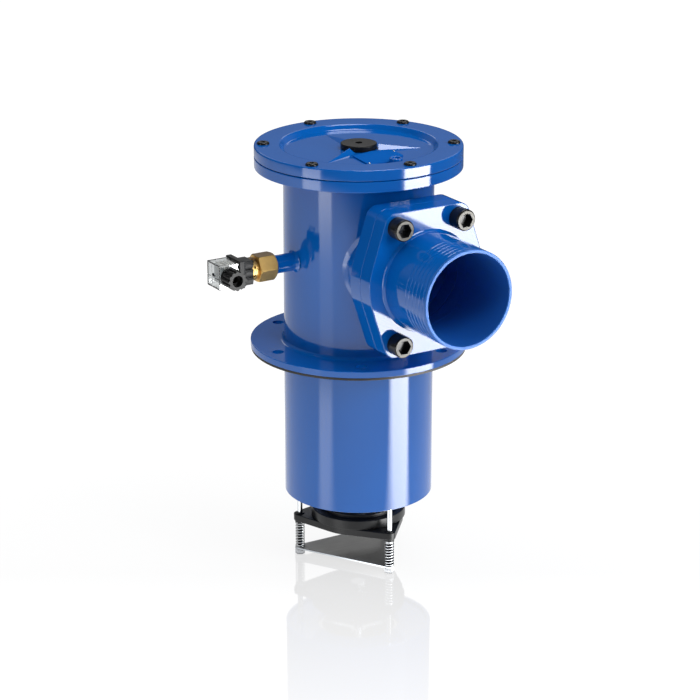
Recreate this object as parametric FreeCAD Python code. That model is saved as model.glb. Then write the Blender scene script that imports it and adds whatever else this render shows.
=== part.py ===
import FreeCAD, Part
import math
import os

from FreeCAD import Vector

os.makedirs("parts", exist_ok=True)

# All sizes are in millimetres. The axis stands on +Z, z = 0 is the face that sits on the tank top,
# the hose outlet points to -Y and the vacuum switch to -X.

# Body tube and its flanges
tube_radius = 84.15
tube_wall = 4.0
tube_below = 170.8
tube_above = 210.2
tube_port_step = 1.5
ring_radius = 116.0
ring_thickness = 12.1
flange_radius = 122.0
flange_thickness = 7.5
flange_weld = 3.5
weld_gap = 0.1
gasket_thickness = 3.0
gasket_margin = 0.5
tank_hole_circle = 105.0
tank_hole_radius = 6.5
tank_hole_count = 6

# Cover
cover_thickness = 12.1
cover_seal_inner = 81.0
cover_seal_outer = 97.0
cover_seal_thickness = 0.8
recess_radius = 87.5
recess_floor_radius = 83.0
recess_depth = 5.75
cover_screw_circle = 105.5
cover_screw_count = 6
cover_screw_radius = 4.0
cover_screw_clearance = 0.5
cover_thread_gap = 0.3
cover_screw_reach = 10.0
cover_head_radius = 7.0
cover_head_height = 2.6
cover_head_edge = 0.8
cover_head_socket = 5.0
cover_head_socket_depth = 1.8
rib_count = 3
rib_height = 5.9
rib_half_width = 9.0
rib_inner = 15.0
rib_outer = 73.0
pad_height = 2.75
pad_corners = ((-25, -28), (-29, -68), (-4, -70), (24, -54), (24, -38), (2, -25))
boss_radius = 8.0
boss_height = 4.0
boss_place = 76.0
boss_cup_radius = 5.0
boss_cup_depth = 1.2

# Centre plug
plug_radius = 20.25
plug_height = 6.0
plug_edge = 1.2
plug_stem_radius = 11.0
plug_stem_gap = 0.1
plug_socket = 8.0
plug_socket_depth = 4.0
plug_seal_outer = 14.5
plug_seal_thickness = 0.8

# Outlet: neck, bolted joint and hose nozzle
outlet_below_ring = 14.7
outlet_radius = 55.0
outlet_wall = 4.0
neck_length = 17.35
pad_thickness = 20.0
plate_thickness = 20.0
plate_side_radius = 73.0
plate_corner_radius = 14.0
corner_past_bolt_across = 1.115
corner_past_bolt_up = 1.91
plate_edge = 1.0
bolt_across = 77.77
bolt_up = 130.18
bolt_radius = 8.0
bolt_clearance = 0.75
bolt_thread_gap = 0.15
bolt_reach = 17.0
bolt_head_radius = 12.0
bolt_head_height = 16.0
bolt_head_edge = 1.0
bolt_socket = 14.0
bolt_socket_depth = 8.0
nozzle_length = 81.0
port_seal_width = 5.0
port_seal_depth = 3.0
port_seal_fit = 0.2

# Seat, rods and foot valve
seat_inset = 2.8
seat_thickness = 10.0
seat_bore = 47.0
rod_circle = 67.5
rod_radius = 3.0
rod_count = 3
rod_thread = 8.0
rod_fit = 0.1
guide_fit = 0.08
foot_opening = 33.5
yoke_thickness = 8.0
yoke_ear_radius = 7.0
yoke_web_radius = 51.5
yoke_boss_radius = 5.75
yoke_boss_height = 2.6
bush_wall = 1.4
bush_collar = 1.0
bush_collar_radius = 5.2
disc_past_bore = 7.0
disc_thickness = 11.0
pilot_fit = 2.0
pilot_thickness = 3.8
valve_screw_radius = 5.0
valve_screw_length = 16.0
valve_screw_across = 17.0
valve_screw_head = 6.0
lower_thickness = 2.0
lower_past_rods = 5.5
lower_tip_half_width = 2.89
washer_radius = 5.8
washer_thickness = 1.2
nut_across = 10.0
nut_height = 5.0
foot_spring_wire = 1.2
foot_spring_mean = 4.9
foot_spring_turns = 10
foot_spring_length = 31.1
spring_seat_gap = 0.05

# Filter element
cap_radius = 66.0
cap_thickness = 8.0
spigot_fit = 0.4
spigot_depth = 6.0
spigot_wall = 4.0
spigot_groove_width = 2.6
spigot_groove_depth = 2.0
element_seal_stand = 0.2
element_seal_fit = 0.1
spider_hub_radius = 9.0
spider_arm_width = 7.0
spider_arm_count = 3
support_inset = 2.0
support_wall = 1.0
window_rows = 3
window_columns = 8
window_height = 80.0
window_width = 12.0
pleat_count = 30
pleat_gap = 1.0
pleat_depth = 16.0
pleat_sheet = 0.6
bypass_opening = 24.0
tie_rod_radius = 5.0
tie_rod_fit = 0.08
foot_radius = 12.0
foot_thickness = 3.0
foot_sleeve_radius = 8.0
foot_sleeve_length = 9.0
bypass_past_opening = 4.0
bypass_thickness = 4.0
bypass_hub_radius = 8.5
bypass_hub_height = 5.0
bypass_seal_thickness = 1.0
bypass_spring_wire = 1.6
bypass_spring_mean = 11.5
bypass_spring_turns = 6
bypass_spring_length = 19.0
top_washer_radius = 14.0
top_washer_thickness = 2.0
top_nut_across = 17.0
top_nut_height = 8.0
tie_rod_end = 3.0
hold_spring_wire = 5.0
hold_spring_mean = 45.0
hold_spring_turns = 5
hold_spring_length = 65.1

# Vacuum switch and its plug connector
switch_height = 112.5
stub_radius = 10.2
stub_bore = 7.0
stub_length = 27.35
stub_weld_radius = 13.0
stub_weld_height = 2.8
hexagon_across = 28.4
hexagon_length = 22.0
hexagon_edge = 2.0
switch_thread_length = 12.0
switch_thread_gap = 0.1
switch_neck_radius = 10.5
switch_neck_length = 9.0
crimp_radius = 13.0
crimp_length = 6.0
crimp_gap = 0.1
crimp_slot = 2.4
crimp_slot_depth = 4.0
crimp_slot_count = 8
base_length = 9.7
base_width = 27.0
base_groove = 2.4
base_groove_pitch = 9.0
base_groove_depth = 1.4
base_corner = 8.0
sheet_thickness = 2.0
sheet_width = 28.0
frame_length = 6.8
frame_width = 31.0
housing_length = 24.0
housing_width = 27.5
housing_wall = 1.6
insert_length = 17.0
insert_width = 17.0
pin_width = 4.0
pin_thickness = 0.8
pin_depth = 4.0
pin_reach = 12.0
pin_place = 6.0
pin_fit = 0.1
link_screw_radius = 1.5
link_screw_fit = 0.1
link_screw_depth = 5.0
link_screw_head = 2.8
link_screw_head_height = 2.0
gland_radius = 10.3
gland_lobe = 0.8
gland_lobes = 12
gland_length = 19.0
gland_hole = 6.5
gland_gap = 0.3
gland_boss_radius = 8.0
gland_boss_bore = 6.0
gland_boss_length = 9.5
gland_fit = 0.15
gland_seal_bore = 4.0
gland_seal_length = 3.0

# Sides of the small, soft and inner round pieces, which are many-sided to keep the part light
small_sides = 12
head_sides = 16
seal_sides = 40
inner_sides = 60
element_sides = 30
support_sides = 24

# Heights and places that follow from the sizes above
tube_bore = tube_radius - tube_wall
ring_top = tube_above + ring_thickness
cover_bottom = ring_top + cover_seal_thickness
cover_top = cover_bottom + cover_thickness
recess_floor = cover_top - recess_depth
flange_top = gasket_thickness + flange_thickness
plate_corner_across = bolt_across / 2 + corner_past_bolt_across
plate_corner_up = bolt_up / 2 + corner_past_bolt_up
outlet_height = tube_above - outlet_below_ring - plate_corner_up - plate_corner_radius
outlet_bore = outlet_radius - outlet_wall
joint_back = tube_radius + neck_length
pad_front = joint_back + pad_thickness
plate_front = pad_front + plate_thickness
seat_bottom = -tube_below + seat_inset
seat_top = seat_bottom + seat_thickness
yoke_top = -tube_below - foot_opening
yoke_bottom = yoke_top - yoke_thickness
yoke_boss_bottom = yoke_bottom - yoke_boss_height
disc_radius = seat_bore + disc_past_bore
disc_top = yoke_top + disc_thickness
pilot_radius = seat_bore - pilot_fit
pilot_top = disc_top + pilot_thickness
lower_tip = rod_circle + lower_past_rods
lower_top = yoke_boss_bottom - foot_spring_length
lower_bottom = lower_top - lower_thickness
washer_bottom = lower_bottom - washer_thickness
nut_bottom = washer_bottom - nut_height
cap_top = cover_bottom - hold_spring_length
element_top = cap_top - cap_thickness
element_bottom = seat_top + cap_thickness
element_length = element_top - element_bottom
support_radius = cap_radius - support_inset
pleat_outer = support_radius - support_wall - pleat_gap
pleat_inner = pleat_outer - pleat_depth
foot_top = pilot_top + foot_thickness
bypass_radius = bypass_opening + bypass_past_opening
bypass_bottom = cap_top + bypass_seal_thickness
bypass_top = bypass_bottom + bypass_thickness
top_washer_bottom = bypass_top + bypass_spring_length
top_nut_bottom = top_washer_bottom + top_washer_thickness
tie_rod_top = top_nut_bottom + top_nut_height + tie_rod_end
stub_end = tube_radius + stub_length
hexagon_end = stub_end + hexagon_length
base_start = hexagon_end + switch_neck_length
sheet_start = base_start + base_length
frame_start = sheet_start + sheet_thickness
housing_start = frame_start + frame_length
housing_end = housing_start + housing_length
gland_place = (housing_start + housing_end) / 2


def polygon(radius, sides, x=0.0, y=0.0, turn=0.0):
    angles = [math.radians(turn + 360.0 * k / sides) for k in range(sides)]
    return [(x + radius * math.cos(a), y + radius * math.sin(a)) for a in angles]


def prism(points, bottom, top):
    """A straight solid on Z from (x, y) corners."""
    corners = [Vector(x, y, bottom) for x, y in points]
    return Part.Face(Part.makePolygon(corners + corners[:1])).extrude(Vector(0, 0, top - bottom))


def disc(radius, bottom, top, x=0.0, y=0.0, sides=0):
    """A round solid on Z, or a many-sided one whose corners lie on the radius."""
    if sides:
        return prism(polygon(radius, sides, x, y), bottom, top)
    return Part.makeCylinder(radius, top - bottom, Vector(x, y, bottom))


def hole(radius, bottom, top, x=0.0, y=0.0, sides=small_sides):
    """A cutter for a many-sided hole, whose flats lie on the radius."""
    return disc(radius / math.cos(math.pi / sides), bottom - 1, top + 1, x, y, sides)


def ring(inner, outer, bottom, top):
    return disc(outer, bottom, top).cut(disc(inner, bottom - 1, top + 1))


def sided_ring(inner, outer, bottom, top, sides):
    return disc(outer, bottom, top, sides=sides).cut(hole(inner, bottom, top, sides=sides))


def turned(points, sides=0):
    """A solid about Z from (radius, height) corners: revolved, or many-sided."""
    if not sides:
        corners = [Vector(radius, 0, height) for radius, height in points]
        face = Part.Face(Part.makePolygon(corners + corners[:1]))
        return face.revolve(Vector(0, 0, 0), Vector(0, 0, 1), 360)
    faces = []
    for here, there in zip(points, points[1:] + points[:1]):
        for k in range(sides):
            strip = [corner_at(here, k, sides), corner_at(here, k + 1, sides),
                     corner_at(there, k + 1, sides), corner_at(there, k, sides)]
            strip = [p for j, p in enumerate(strip) if (p - strip[j - 1]).Length > 0.0001]
            if len(strip) > 2:
                faces.append(Part.Face(Part.makePolygon(strip + strip[:1])))
    return closed_solid(faces)


def corner_at(point, k, sides):
    radius, height = point
    angle = 2 * math.pi * (k % sides) / sides
    return Vector(radius * math.cos(angle), radius * math.sin(angle), height)


def closed_solid(faces):
    shell = Part.Shell(faces)
    shell.sewShape()
    solid = Part.Solid(shell)
    if solid.Volume < 0:
        solid.reverse()
    return solid.removeSplitter()


def block(width_x, width_y, bottom, top, x=0.0, y=0.0):
    corner = Vector(x - width_x / 2, y - width_y / 2, bottom)
    return Part.makeBox(width_x, width_y, top - bottom, corner)


def hexagon(across, bottom, top, x=0.0, y=0.0, turn=0.0):
    return prism(polygon(across / math.sqrt(3), 6, x, y, turn), bottom, top)


def moved(shape, x, y=0.0, z=0.0):
    copy = shape.copy()
    copy.translate(Vector(x, y, z))
    return copy


def rotated(shape, axis, degrees):
    copy = shape.copy()
    copy.rotate(Vector(0, 0, 0), axis, degrees)
    return copy


def pattern(shape, count, first=0.0):
    return [rotated(shape, Vector(0, 0, 1), first + 360.0 * k / count) for k in range(count)]


def to_outlet(shape):
    """Lays a shape built on +Z along -Y, on the outlet's axis; its y becomes height."""
    return moved(rotated(shape, Vector(1, 0, 0), 90), 0, 0, outlet_height)


def to_switch(shape):
    """Lays a shape built on +Z along -X, on the switch's axis; its x becomes height."""
    return moved(rotated(shape, Vector(0, 1, 0), -90), 0, 0, switch_height)


def to_gland(shape):
    """Lays a shape built on +Z along -Y, on the cable nut's axis."""
    return moved(rotated(shape, Vector(1, 0, 0), 90), -gland_place, 0, switch_height)


def coil(mean, wire, bottom, top, turns, steps, sides):
    """A closed-ended spring on Z: a many-sided wire along a many-sided helix."""
    half = wire / 2
    low = bottom + half + spring_seat_gap
    high = top - half - spring_seat_gap
    dead = wire * 1.04
    sections = []
    for k in range(turns * steps + 1):
        turn = k / steps
        if turn < 1:
            height = low + dead * turn
        elif turn > turns - 1:
            height = high - dead * (turns - turn)
        else:
            height = low + dead + (high - low - 2 * dead) * (turn - 1) / (turns - 2)
        angle = 2 * math.pi * turn
        section = []
        for j in range(sides):
            around = 2 * math.pi * (j + 0.25) / sides - math.pi / 2 - math.pi * 0.5 / sides
            radius = mean + half * math.cos(around)
            section.append(Vector(radius * math.cos(angle), radius * math.sin(angle),
                                  height + half * math.sin(around)))
        sections.append(section)
    faces = [Part.Face(Part.makePolygon(end + end[:1])) for end in (sections[0], sections[-1])]
    for here, there in zip(sections, sections[1:]):
        for j in range(sides):
            n = (j + 1) % sides
            faces.append(Part.Face(Part.makePolygon([here[j], here[n], there[n], here[j]])))
            faces.append(Part.Face(Part.makePolygon([here[j], there[n], there[j], here[j]])))
    shell = Part.Shell(faces)
    shell.sewShape()
    solid = Part.Solid(shell)
    if solid.Volume < 0:
        solid.reverse()
    return solid


def save(name, shapes):
    shape = Part.makeCompound(shapes) if isinstance(shapes, list) else shapes
    shape.exportStep("parts/" + name + ".step")


def welded_body():
    """Tube, top ring, tank flange and seat ring."""
    tube = ring(tube_bore, tube_radius, -tube_below, tube_above)
    outlet_hole = to_outlet(disc(outlet_bore - tube_port_step, 0, joint_back))
    switch_hole = to_switch(hole(stub_bore, 0, stub_end))
    save("body_tube", tube.cut([outlet_hole, switch_hole]))

    thread = hole(cover_screw_radius + cover_thread_gap, tube_above, ring_top, cover_screw_circle)
    plate = ring(tube_bore, ring_radius, tube_above, ring_top)
    save("top_ring", plate.cut(pattern(thread, cover_screw_count, 30)))

    inner = tube_radius + weld_gap
    plate = turned([(inner, gasket_thickness), (flange_radius, gasket_thickness), (flange_radius, flange_top),
                    (inner + flange_weld, flange_top), (inner, flange_top + flange_weld)])
    bolt_hole = disc(tank_hole_radius, 0, flange_top + 1, tank_hole_circle)
    save("tank_flange", plate.cut(pattern(bolt_hole, tank_hole_count)))

    thread = hole(rod_radius + rod_fit, seat_bottom - 1, seat_bottom + rod_thread - 1, rod_circle)
    plate = sided_ring(seat_bore, tube_bore - weld_gap, seat_bottom, seat_top, inner_sides)
    save("seat_ring", plate.cut(pattern(thread, rod_count, 30)))


def gaskets():
    plate = sided_ring(tube_radius + weld_gap, flange_radius - gasket_margin, 0, gasket_thickness, seal_sides)
    bolt_hole = disc(tank_hole_radius, -1, gasket_thickness + 1, tank_hole_circle)
    save("tank_gasket", plate.cut(pattern(bolt_hole, tank_hole_count)))
    save("cover_seal", sided_ring(cover_seal_inner, cover_seal_outer, ring_top, cover_bottom, seal_sides))


def outlet_neck():
    neck = to_outlet(ring(outlet_bore, outlet_radius, 0, joint_back))
    save("outlet_neck", neck.cut(disc(tube_radius + weld_gap, 0, tube_above)))


def arc(x, y, radius, start, end):
    angles = (start, (start + end) / 2, end)
    return Part.Arc(*[Vector(x + radius * math.cos(a), y + radius * math.sin(a), 0) for a in angles]).toShape()


def joined(arcs):
    """A closed outline: the arcs in turn, with a straight line from each to the next."""
    edges = []
    for here, there in zip(arcs, arcs[1:] + arcs[:1]):
        edges.append(here)
        edges.append(Part.makeLine(here.Vertexes[-1].Point, there.Vertexes[0].Point))
    return Part.Wire(edges)


def joint_outline():
    """The plates' outline: two side arcs about the axis, joined by tangents to four corner arcs."""
    across, up = plate_corner_across, plate_corner_up
    reach = math.hypot(across, up)
    lean = math.atan2(up, across) - math.acos((plate_side_radius - plate_corner_radius) / reach)
    quarter = math.pi / 2
    half = math.pi
    return joined([arc(0, 0, plate_side_radius, -lean, lean),
                   arc(across, up, plate_corner_radius, lean, quarter),
                   arc(-across, up, plate_corner_radius, quarter, half - lean),
                   arc(0, 0, plate_side_radius, half - lean, half + lean),
                   arc(-across, -up, plate_corner_radius, half + lean, 3 * quarter),
                   arc(across, -up, plate_corner_radius, 3 * quarter, 2 * half - lean)])


def joint_plate(back, front, hole_radius):
    """One plate of the bolted joint, built on +Z, with its front edge chamfered."""
    wire = joint_outline()
    wire.translate(Vector(0, 0, back))
    plate = Part.Face(wire).extrude(Vector(0, 0, front - back))
    rim = [edge for edge in plate.Edges if edge.BoundBox.ZMin > front - 0.001]
    plate = plate.makeChamfer(plate_edge, rim)
    plate = plate.cut(disc(outlet_bore, back - 1, front + 1))
    return plate.cut(at_bolts(hole(hole_radius, back, front)))


def at_bolts(shape):
    return [moved(shape, x * bolt_across / 2, y * bolt_up / 2) for x in (-1, 1) for y in (-1, 1)]


def outlet_joint():
    rebate = outlet_bore + port_seal_width
    pad = joint_plate(joint_back, pad_front, bolt_radius + bolt_thread_gap)
    pad = pad.cut(hole(rebate, pad_front - port_seal_depth + 1, pad_front, sides=seal_sides))
    save("port_pad", to_outlet(pad))
    seal = sided_ring(outlet_bore + port_seal_fit, rebate - port_seal_fit, pad_front - port_seal_depth, pad_front,
                      seal_sides)
    save("port_seal", to_outlet(seal))
    save("port_flange", to_outlet(joint_plate(pad_front, plate_front, bolt_radius + bolt_clearance)))

    head_top = plate_front + bolt_head_height
    tip = pad_front - bolt_reach
    screw = turned([(0, tip), (bolt_radius, tip), (bolt_radius, plate_front), (bolt_head_radius, plate_front),
                    (bolt_head_radius, head_top - bolt_head_edge), (bolt_head_radius - bolt_head_edge, head_top),
                    (0, head_top)], head_sides)
    screw = screw.cut(hexagon(bolt_socket, head_top - bolt_socket_depth, head_top + 1, turn=30))
    save("port_screws", [to_outlet(copy) for copy in at_bolts(screw)])
    save("hose_nozzle", to_outlet(ring(outlet_bore, outlet_radius, plate_front, plate_front + nozzle_length)))


def three_cornered(corners):
    """Corners of one tip, laid on +X, repeated at the three rods."""
    points = []
    for k in range(3):
        a = math.radians(30 + 120 * k)
        points += [(x * math.cos(a) - y * math.sin(a), x * math.sin(a) + y * math.cos(a)) for x, y in corners]
    return points


def foot_frame():
    """Rods, lower plate, washers, nuts and the three springs."""
    rod = disc(rod_radius, nut_bottom, seat_bottom + rod_thread, rod_circle, sides=small_sides)
    save("guide_rods", pattern(rod, rod_count, 30))
    half = lower_tip_half_width
    plate = prism(three_cornered([(lower_tip, -half), (lower_tip, half)]), lower_bottom, lower_top)
    rod_hole = hole(rod_radius + rod_fit, lower_bottom, lower_top, rod_circle)
    save("lower_plate", plate.cut(pattern(rod_hole, rod_count, 30)))
    washer = moved(sided_ring(rod_radius + rod_fit, washer_radius, washer_bottom, lower_bottom, small_sides),
                   rod_circle)
    save("rod_washers", pattern(washer, rod_count, 30))
    nut = hexagon(nut_across, nut_bottom, washer_bottom, rod_circle)
    nut = nut.cut(hole(rod_radius + rod_fit, nut_bottom, washer_bottom, rod_circle))
    save("rod_nuts", pattern(nut, rod_count, 30))
    spring = coil(foot_spring_mean, foot_spring_wire, lower_top, yoke_boss_bottom, foot_spring_turns, 6, 3)
    save("foot_springs", pattern(moved(spring, rod_circle), rod_count, 30))


def yoke_outline():
    """A round web with a round ear at each rod, joined by the lines that touch both."""
    lean = math.acos((yoke_web_radius - yoke_ear_radius) / rod_circle)
    step = 2 * math.pi / rod_count
    arcs = []
    for k in range(rod_count):
        rod = math.radians(30) + k * step
        x, y = rod_circle * math.cos(rod), rod_circle * math.sin(rod)
        arcs.append(arc(x, y, yoke_ear_radius, rod - lean, rod + lean))
        arcs.append(arc(0, 0, yoke_web_radius, rod + lean, rod + step - lean))
    return joined(arcs)


def foot_valve():
    """The yoke that slides on the rods, its bushes, the valve disc and the screw between them."""
    bore = (rod_radius + guide_fit) / math.cos(math.pi / small_sides)
    shell = bore + bush_wall
    outline = yoke_outline()
    outline.translate(Vector(0, 0, yoke_bottom))
    yoke = Part.Face(outline).extrude(Vector(0, 0, yoke_thickness))
    boss = disc(yoke_boss_radius, yoke_boss_bottom, yoke_top, rod_circle, sides=small_sides)
    yoke = yoke.fuse(pattern(boss, rod_count, 30))
    bush_hole = hole(shell + rod_fit, yoke_boss_bottom, yoke_top, rod_circle)
    yoke = yoke.cut(pattern(bush_hole, rod_count, 30))
    screw_fit = valve_screw_radius + rod_fit
    save("yoke_plate", yoke.cut(hole(screw_fit, yoke_bottom, yoke_top)))
    bush = turned([(bore, yoke_boss_bottom), (shell, yoke_boss_bottom), (shell, yoke_top),
                   (bush_collar_radius, yoke_top), (bush_collar_radius, yoke_top + bush_collar),
                   (bore, yoke_top + bush_collar)], small_sides)
    save("guide_bushes", pattern(moved(bush, rod_circle), rod_count, 30))
    plate = turned([(0, yoke_top), (disc_radius, yoke_top), (disc_radius, disc_top), (pilot_radius, disc_top),
                    (pilot_radius, pilot_top), (0, pilot_top)], inner_sides)
    screw_top = yoke_bottom + valve_screw_length
    save("valve_disc", plate.cut(hole(screw_fit, yoke_top, screw_top)))
    screw = disc(valve_screw_radius, yoke_bottom, screw_top, sides=small_sides)
    screw = screw.fuse(hexagon(valve_screw_across, yoke_bottom - valve_screw_head, yoke_bottom))
    save("valve_screw", screw.removeSplitter())


def cover():
    outer = disc(ring_radius, cover_bottom, cover_top)
    recess = turned([(0, recess_floor), (recess_floor_radius, recess_floor), (recess_radius, cover_top),
                     (recess_radius, cover_top + 1), (0, cover_top + 1)])
    plate = outer.cut(recess)
    pad = prism(pad_corners, recess_floor, recess_floor + pad_height)
    boss_top = recess_floor + boss_height
    boss = disc(boss_radius, recess_floor, boss_top, 0, -boss_place, sides=2 * small_sides)
    boss = boss.cut(disc(boss_cup_radius, boss_top - boss_cup_depth, boss_top + 1, 0, -boss_place,
                         sides=small_sides))
    plate = plate.fuse([pad, boss] + pattern(cover_rib(), rib_count, -30))
    stem_hole = hole(plug_stem_radius + plug_stem_gap, cover_bottom, cover_top, sides=2 * small_sides)
    head_seat = disc(plug_radius + 1, recess_floor, cover_top + 1, sides=seal_sides)
    screw_hole = hole(cover_screw_radius + cover_screw_clearance, cover_bottom, cover_top, cover_screw_circle)
    save("cover", plate.cut([stem_hole, head_seat] + pattern(screw_hole, cover_screw_count, 30)))


def cover_rib():
    """One rib on +X: three-sided, highest at the hub and running out towards the rim."""
    base = [Vector(rib_inner, -rib_half_width, recess_floor), Vector(rib_inner, rib_half_width, recess_floor),
            Vector(rib_inner, 0, recess_floor + rib_height)]
    end = Vector(rib_outer, 0, recess_floor)
    corners = [(base[0], base[1], base[2]), (base[0], base[1], end), (base[1], base[2], end),
               (base[2], base[0], end)]
    return closed_solid([Part.Face(Part.makePolygon([a, b, c, a])) for a, b, c in corners])


def cover_fittings():
    top = cover_top + cover_head_height
    tip = cover_bottom - cover_screw_reach
    screw = turned([(0, tip), (cover_screw_radius, tip), (cover_screw_radius, cover_top),
                    (cover_head_radius, cover_top), (cover_head_radius, top - cover_head_edge),
                    (cover_head_radius - cover_head_edge, top), (0, top)], small_sides)
    screw = screw.cut(hexagon(cover_head_socket, top - cover_head_socket_depth, top + 1))
    save("cover_screws", pattern(moved(screw, cover_screw_circle), cover_screw_count, 30))

    head_bottom = recess_floor + plug_seal_thickness
    head_top = head_bottom + plug_height
    plug = turned([(0, cover_bottom), (plug_stem_radius, cover_bottom), (plug_stem_radius, head_bottom),
                   (plug_radius, head_bottom), (plug_radius, head_top - plug_edge),
                   (plug_radius - plug_edge, head_top), (0, head_top)], 2 * small_sides)
    plug = plug.cut(hexagon(plug_socket, head_top - plug_socket_depth, head_top + 1))
    save("centre_plug", plug)
    save("plug_seal", sided_ring(plug_stem_radius + plug_stem_gap, plug_seal_outer, recess_floor, head_bottom,
                                 2 * small_sides))


def element_caps():
    spigot = seat_bore - spigot_fit
    inner = spigot - spigot_wall
    groove = spigot - spigot_groove_depth
    lip = seat_top - spigot_groove_width
    cap = turned([(inner, seat_top - spigot_depth), (spigot, seat_top - spigot_depth), (spigot, lip),
                  (groove, lip), (groove, seat_top), (cap_radius, seat_top), (cap_radius, element_bottom),
                  (inner, element_bottom)], element_sides)
    arm = block(inner + 1, spider_arm_width, seat_top, element_bottom, (inner + 1) / 2)
    hub = disc(spider_hub_radius, seat_top, element_bottom, sides=small_sides)
    cap = cap.fuse([hub] + pattern(arm, spider_arm_count))
    cap = cap.cut(hole(tie_rod_radius + tie_rod_fit, seat_top, element_bottom))
    save("bottom_cap", cap.removeSplitter())
    seal = sided_ring(groove + element_seal_fit, spigot + element_seal_stand, lip + element_seal_fit, seat_top,
                      element_sides)
    save("element_seal", seal)
    save("top_cap", sided_ring(bypass_opening, cap_radius, element_top, cap_top, element_sides))


def element_mesh():
    """The pierced support tube and the pleated mesh inside it."""
    tube = sided_ring(support_radius - support_wall, support_radius, element_bottom, element_top, support_sides)
    middle = support_radius * math.cos(math.pi / support_sides)
    pitch = element_length / window_rows
    windows = []
    for row in range(window_rows):
        low = element_bottom + pitch * (row + 0.5) - window_height / 2
        window = block(4 * support_wall, window_width, low, low + window_height, middle)
        windows += pattern(window, window_columns, 180.0 / support_sides)
    save("support_tube", tube.cut(windows))

    outer = []
    inner = []
    for k in range(2 * pleat_count):
        angle = math.pi * k / pleat_count
        crest = pleat_inner if k % 2 else pleat_outer
        outer.append((crest * math.cos(angle), crest * math.sin(angle)))
        crest = crest - pleat_sheet * pleat_spread()
        inner.append((crest * math.cos(angle), crest * math.sin(angle)))
    mesh = prism(outer, element_bottom, element_top).cut(prism(inner, element_bottom - 1, element_top + 1))
    save("filter_mesh", mesh)


def pleat_spread():
    """How much further the sheet's two faces lie apart along the radius than square to a pleat."""
    rise = pleat_outer - pleat_inner
    run = (pleat_outer + pleat_inner) / 2 * math.pi / pleat_count
    return math.hypot(rise, run) / run


def element_rod():
    rod = disc(tie_rod_radius, foot_top, tie_rod_top, sides=small_sides)
    save("tie_rod", rod)
    sleeve_top = foot_top + foot_sleeve_length
    foot = disc(foot_radius, pilot_top, foot_top, sides=2 * small_sides)
    foot = foot.fuse(disc(foot_sleeve_radius, foot_top, sleeve_top, sides=2 * small_sides))
    rod_space = hole(tie_rod_radius + tie_rod_fit, foot_top + 1, sleeve_top)
    save("rod_foot", foot.cut(rod_space).removeSplitter())
    save("top_washer", sided_ring(tie_rod_radius + tie_rod_fit, top_washer_radius, top_washer_bottom,
                                  top_nut_bottom, 2 * small_sides))
    nut = hexagon(top_nut_across, top_nut_bottom, top_nut_bottom + top_nut_height)
    save("top_nut", nut.cut(hole(tie_rod_radius + tie_rod_fit, top_nut_bottom, tie_rod_top)))
    save("hold_down_spring", coil(hold_spring_mean, hold_spring_wire, cap_top, cover_bottom, hold_spring_turns,
                                  12, 4))


def bypass_valve():
    sides = 2 * small_sides
    plate = disc(bypass_radius, bypass_bottom, bypass_top, sides=sides)
    plate = plate.fuse(disc(bypass_hub_radius, bypass_top, bypass_top + bypass_hub_height, sides=sides))
    rod_space = hole(tie_rod_radius + tie_rod_fit, bypass_bottom, bypass_top + bypass_hub_height)
    save("bypass_disc", plate.cut(rod_space).removeSplitter())
    save("bypass_seal", sided_ring(bypass_opening, bypass_radius, cap_top, bypass_bottom, sides))
    save("bypass_spring", coil(bypass_spring_mean, bypass_spring_wire, bypass_top, top_washer_bottom,
                               bypass_spring_turns, 10, 3))


def switch_stub():
    stub = to_switch(disc(stub_radius, 0, stub_end, sides=head_sides))
    bead = to_switch(disc(stub_weld_radius, 0, stub_end, sides=head_sides))
    bead = bead.common(disc(tube_radius + stub_weld_height, 0, tube_above))
    stub = stub.fuse(bead).cut([disc(tube_radius + weld_gap, 0, tube_above), to_switch(hole(stub_bore, 0, stub_end))])
    save("switch_stub", stub)


def switch_body():
    """The brass body: thread in the stub, hexagon with turned-off corners, and neck."""
    thread = disc(stub_bore - switch_thread_gap, stub_end - switch_thread_length, stub_end, sides=small_sides)
    corner = hexagon_across / math.sqrt(3)
    start, end, edge = stub_end, hexagon_end, hexagon_edge
    turn = disc(corner + 1, start, end).common(turned([
        (0, start), (corner - edge, start), (corner, start + edge), (corner, end - edge), (corner - edge, end),
        (0, end)], 2 * small_sides))
    body = hexagon(hexagon_across, start, end, turn=30).common(turn)
    neck = disc(switch_neck_radius, end, base_start, sides=2 * small_sides)
    save("switch_body", to_switch(body.fuse([thread, neck]).removeSplitter()))

    crimp_end = base_start - crimp_gap
    crimp = sided_ring(switch_neck_radius + crimp_gap, crimp_radius, crimp_end - crimp_length, crimp_end,
                       2 * small_sides)
    slot = block(crimp_radius + 1, crimp_slot, crimp_end - crimp_slot_depth, crimp_end + 1,
                 (crimp_radius + 1) / 2)
    save("crimp_ring", to_switch(crimp.cut(pattern(slot, crimp_slot_count, 22.5))))


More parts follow.
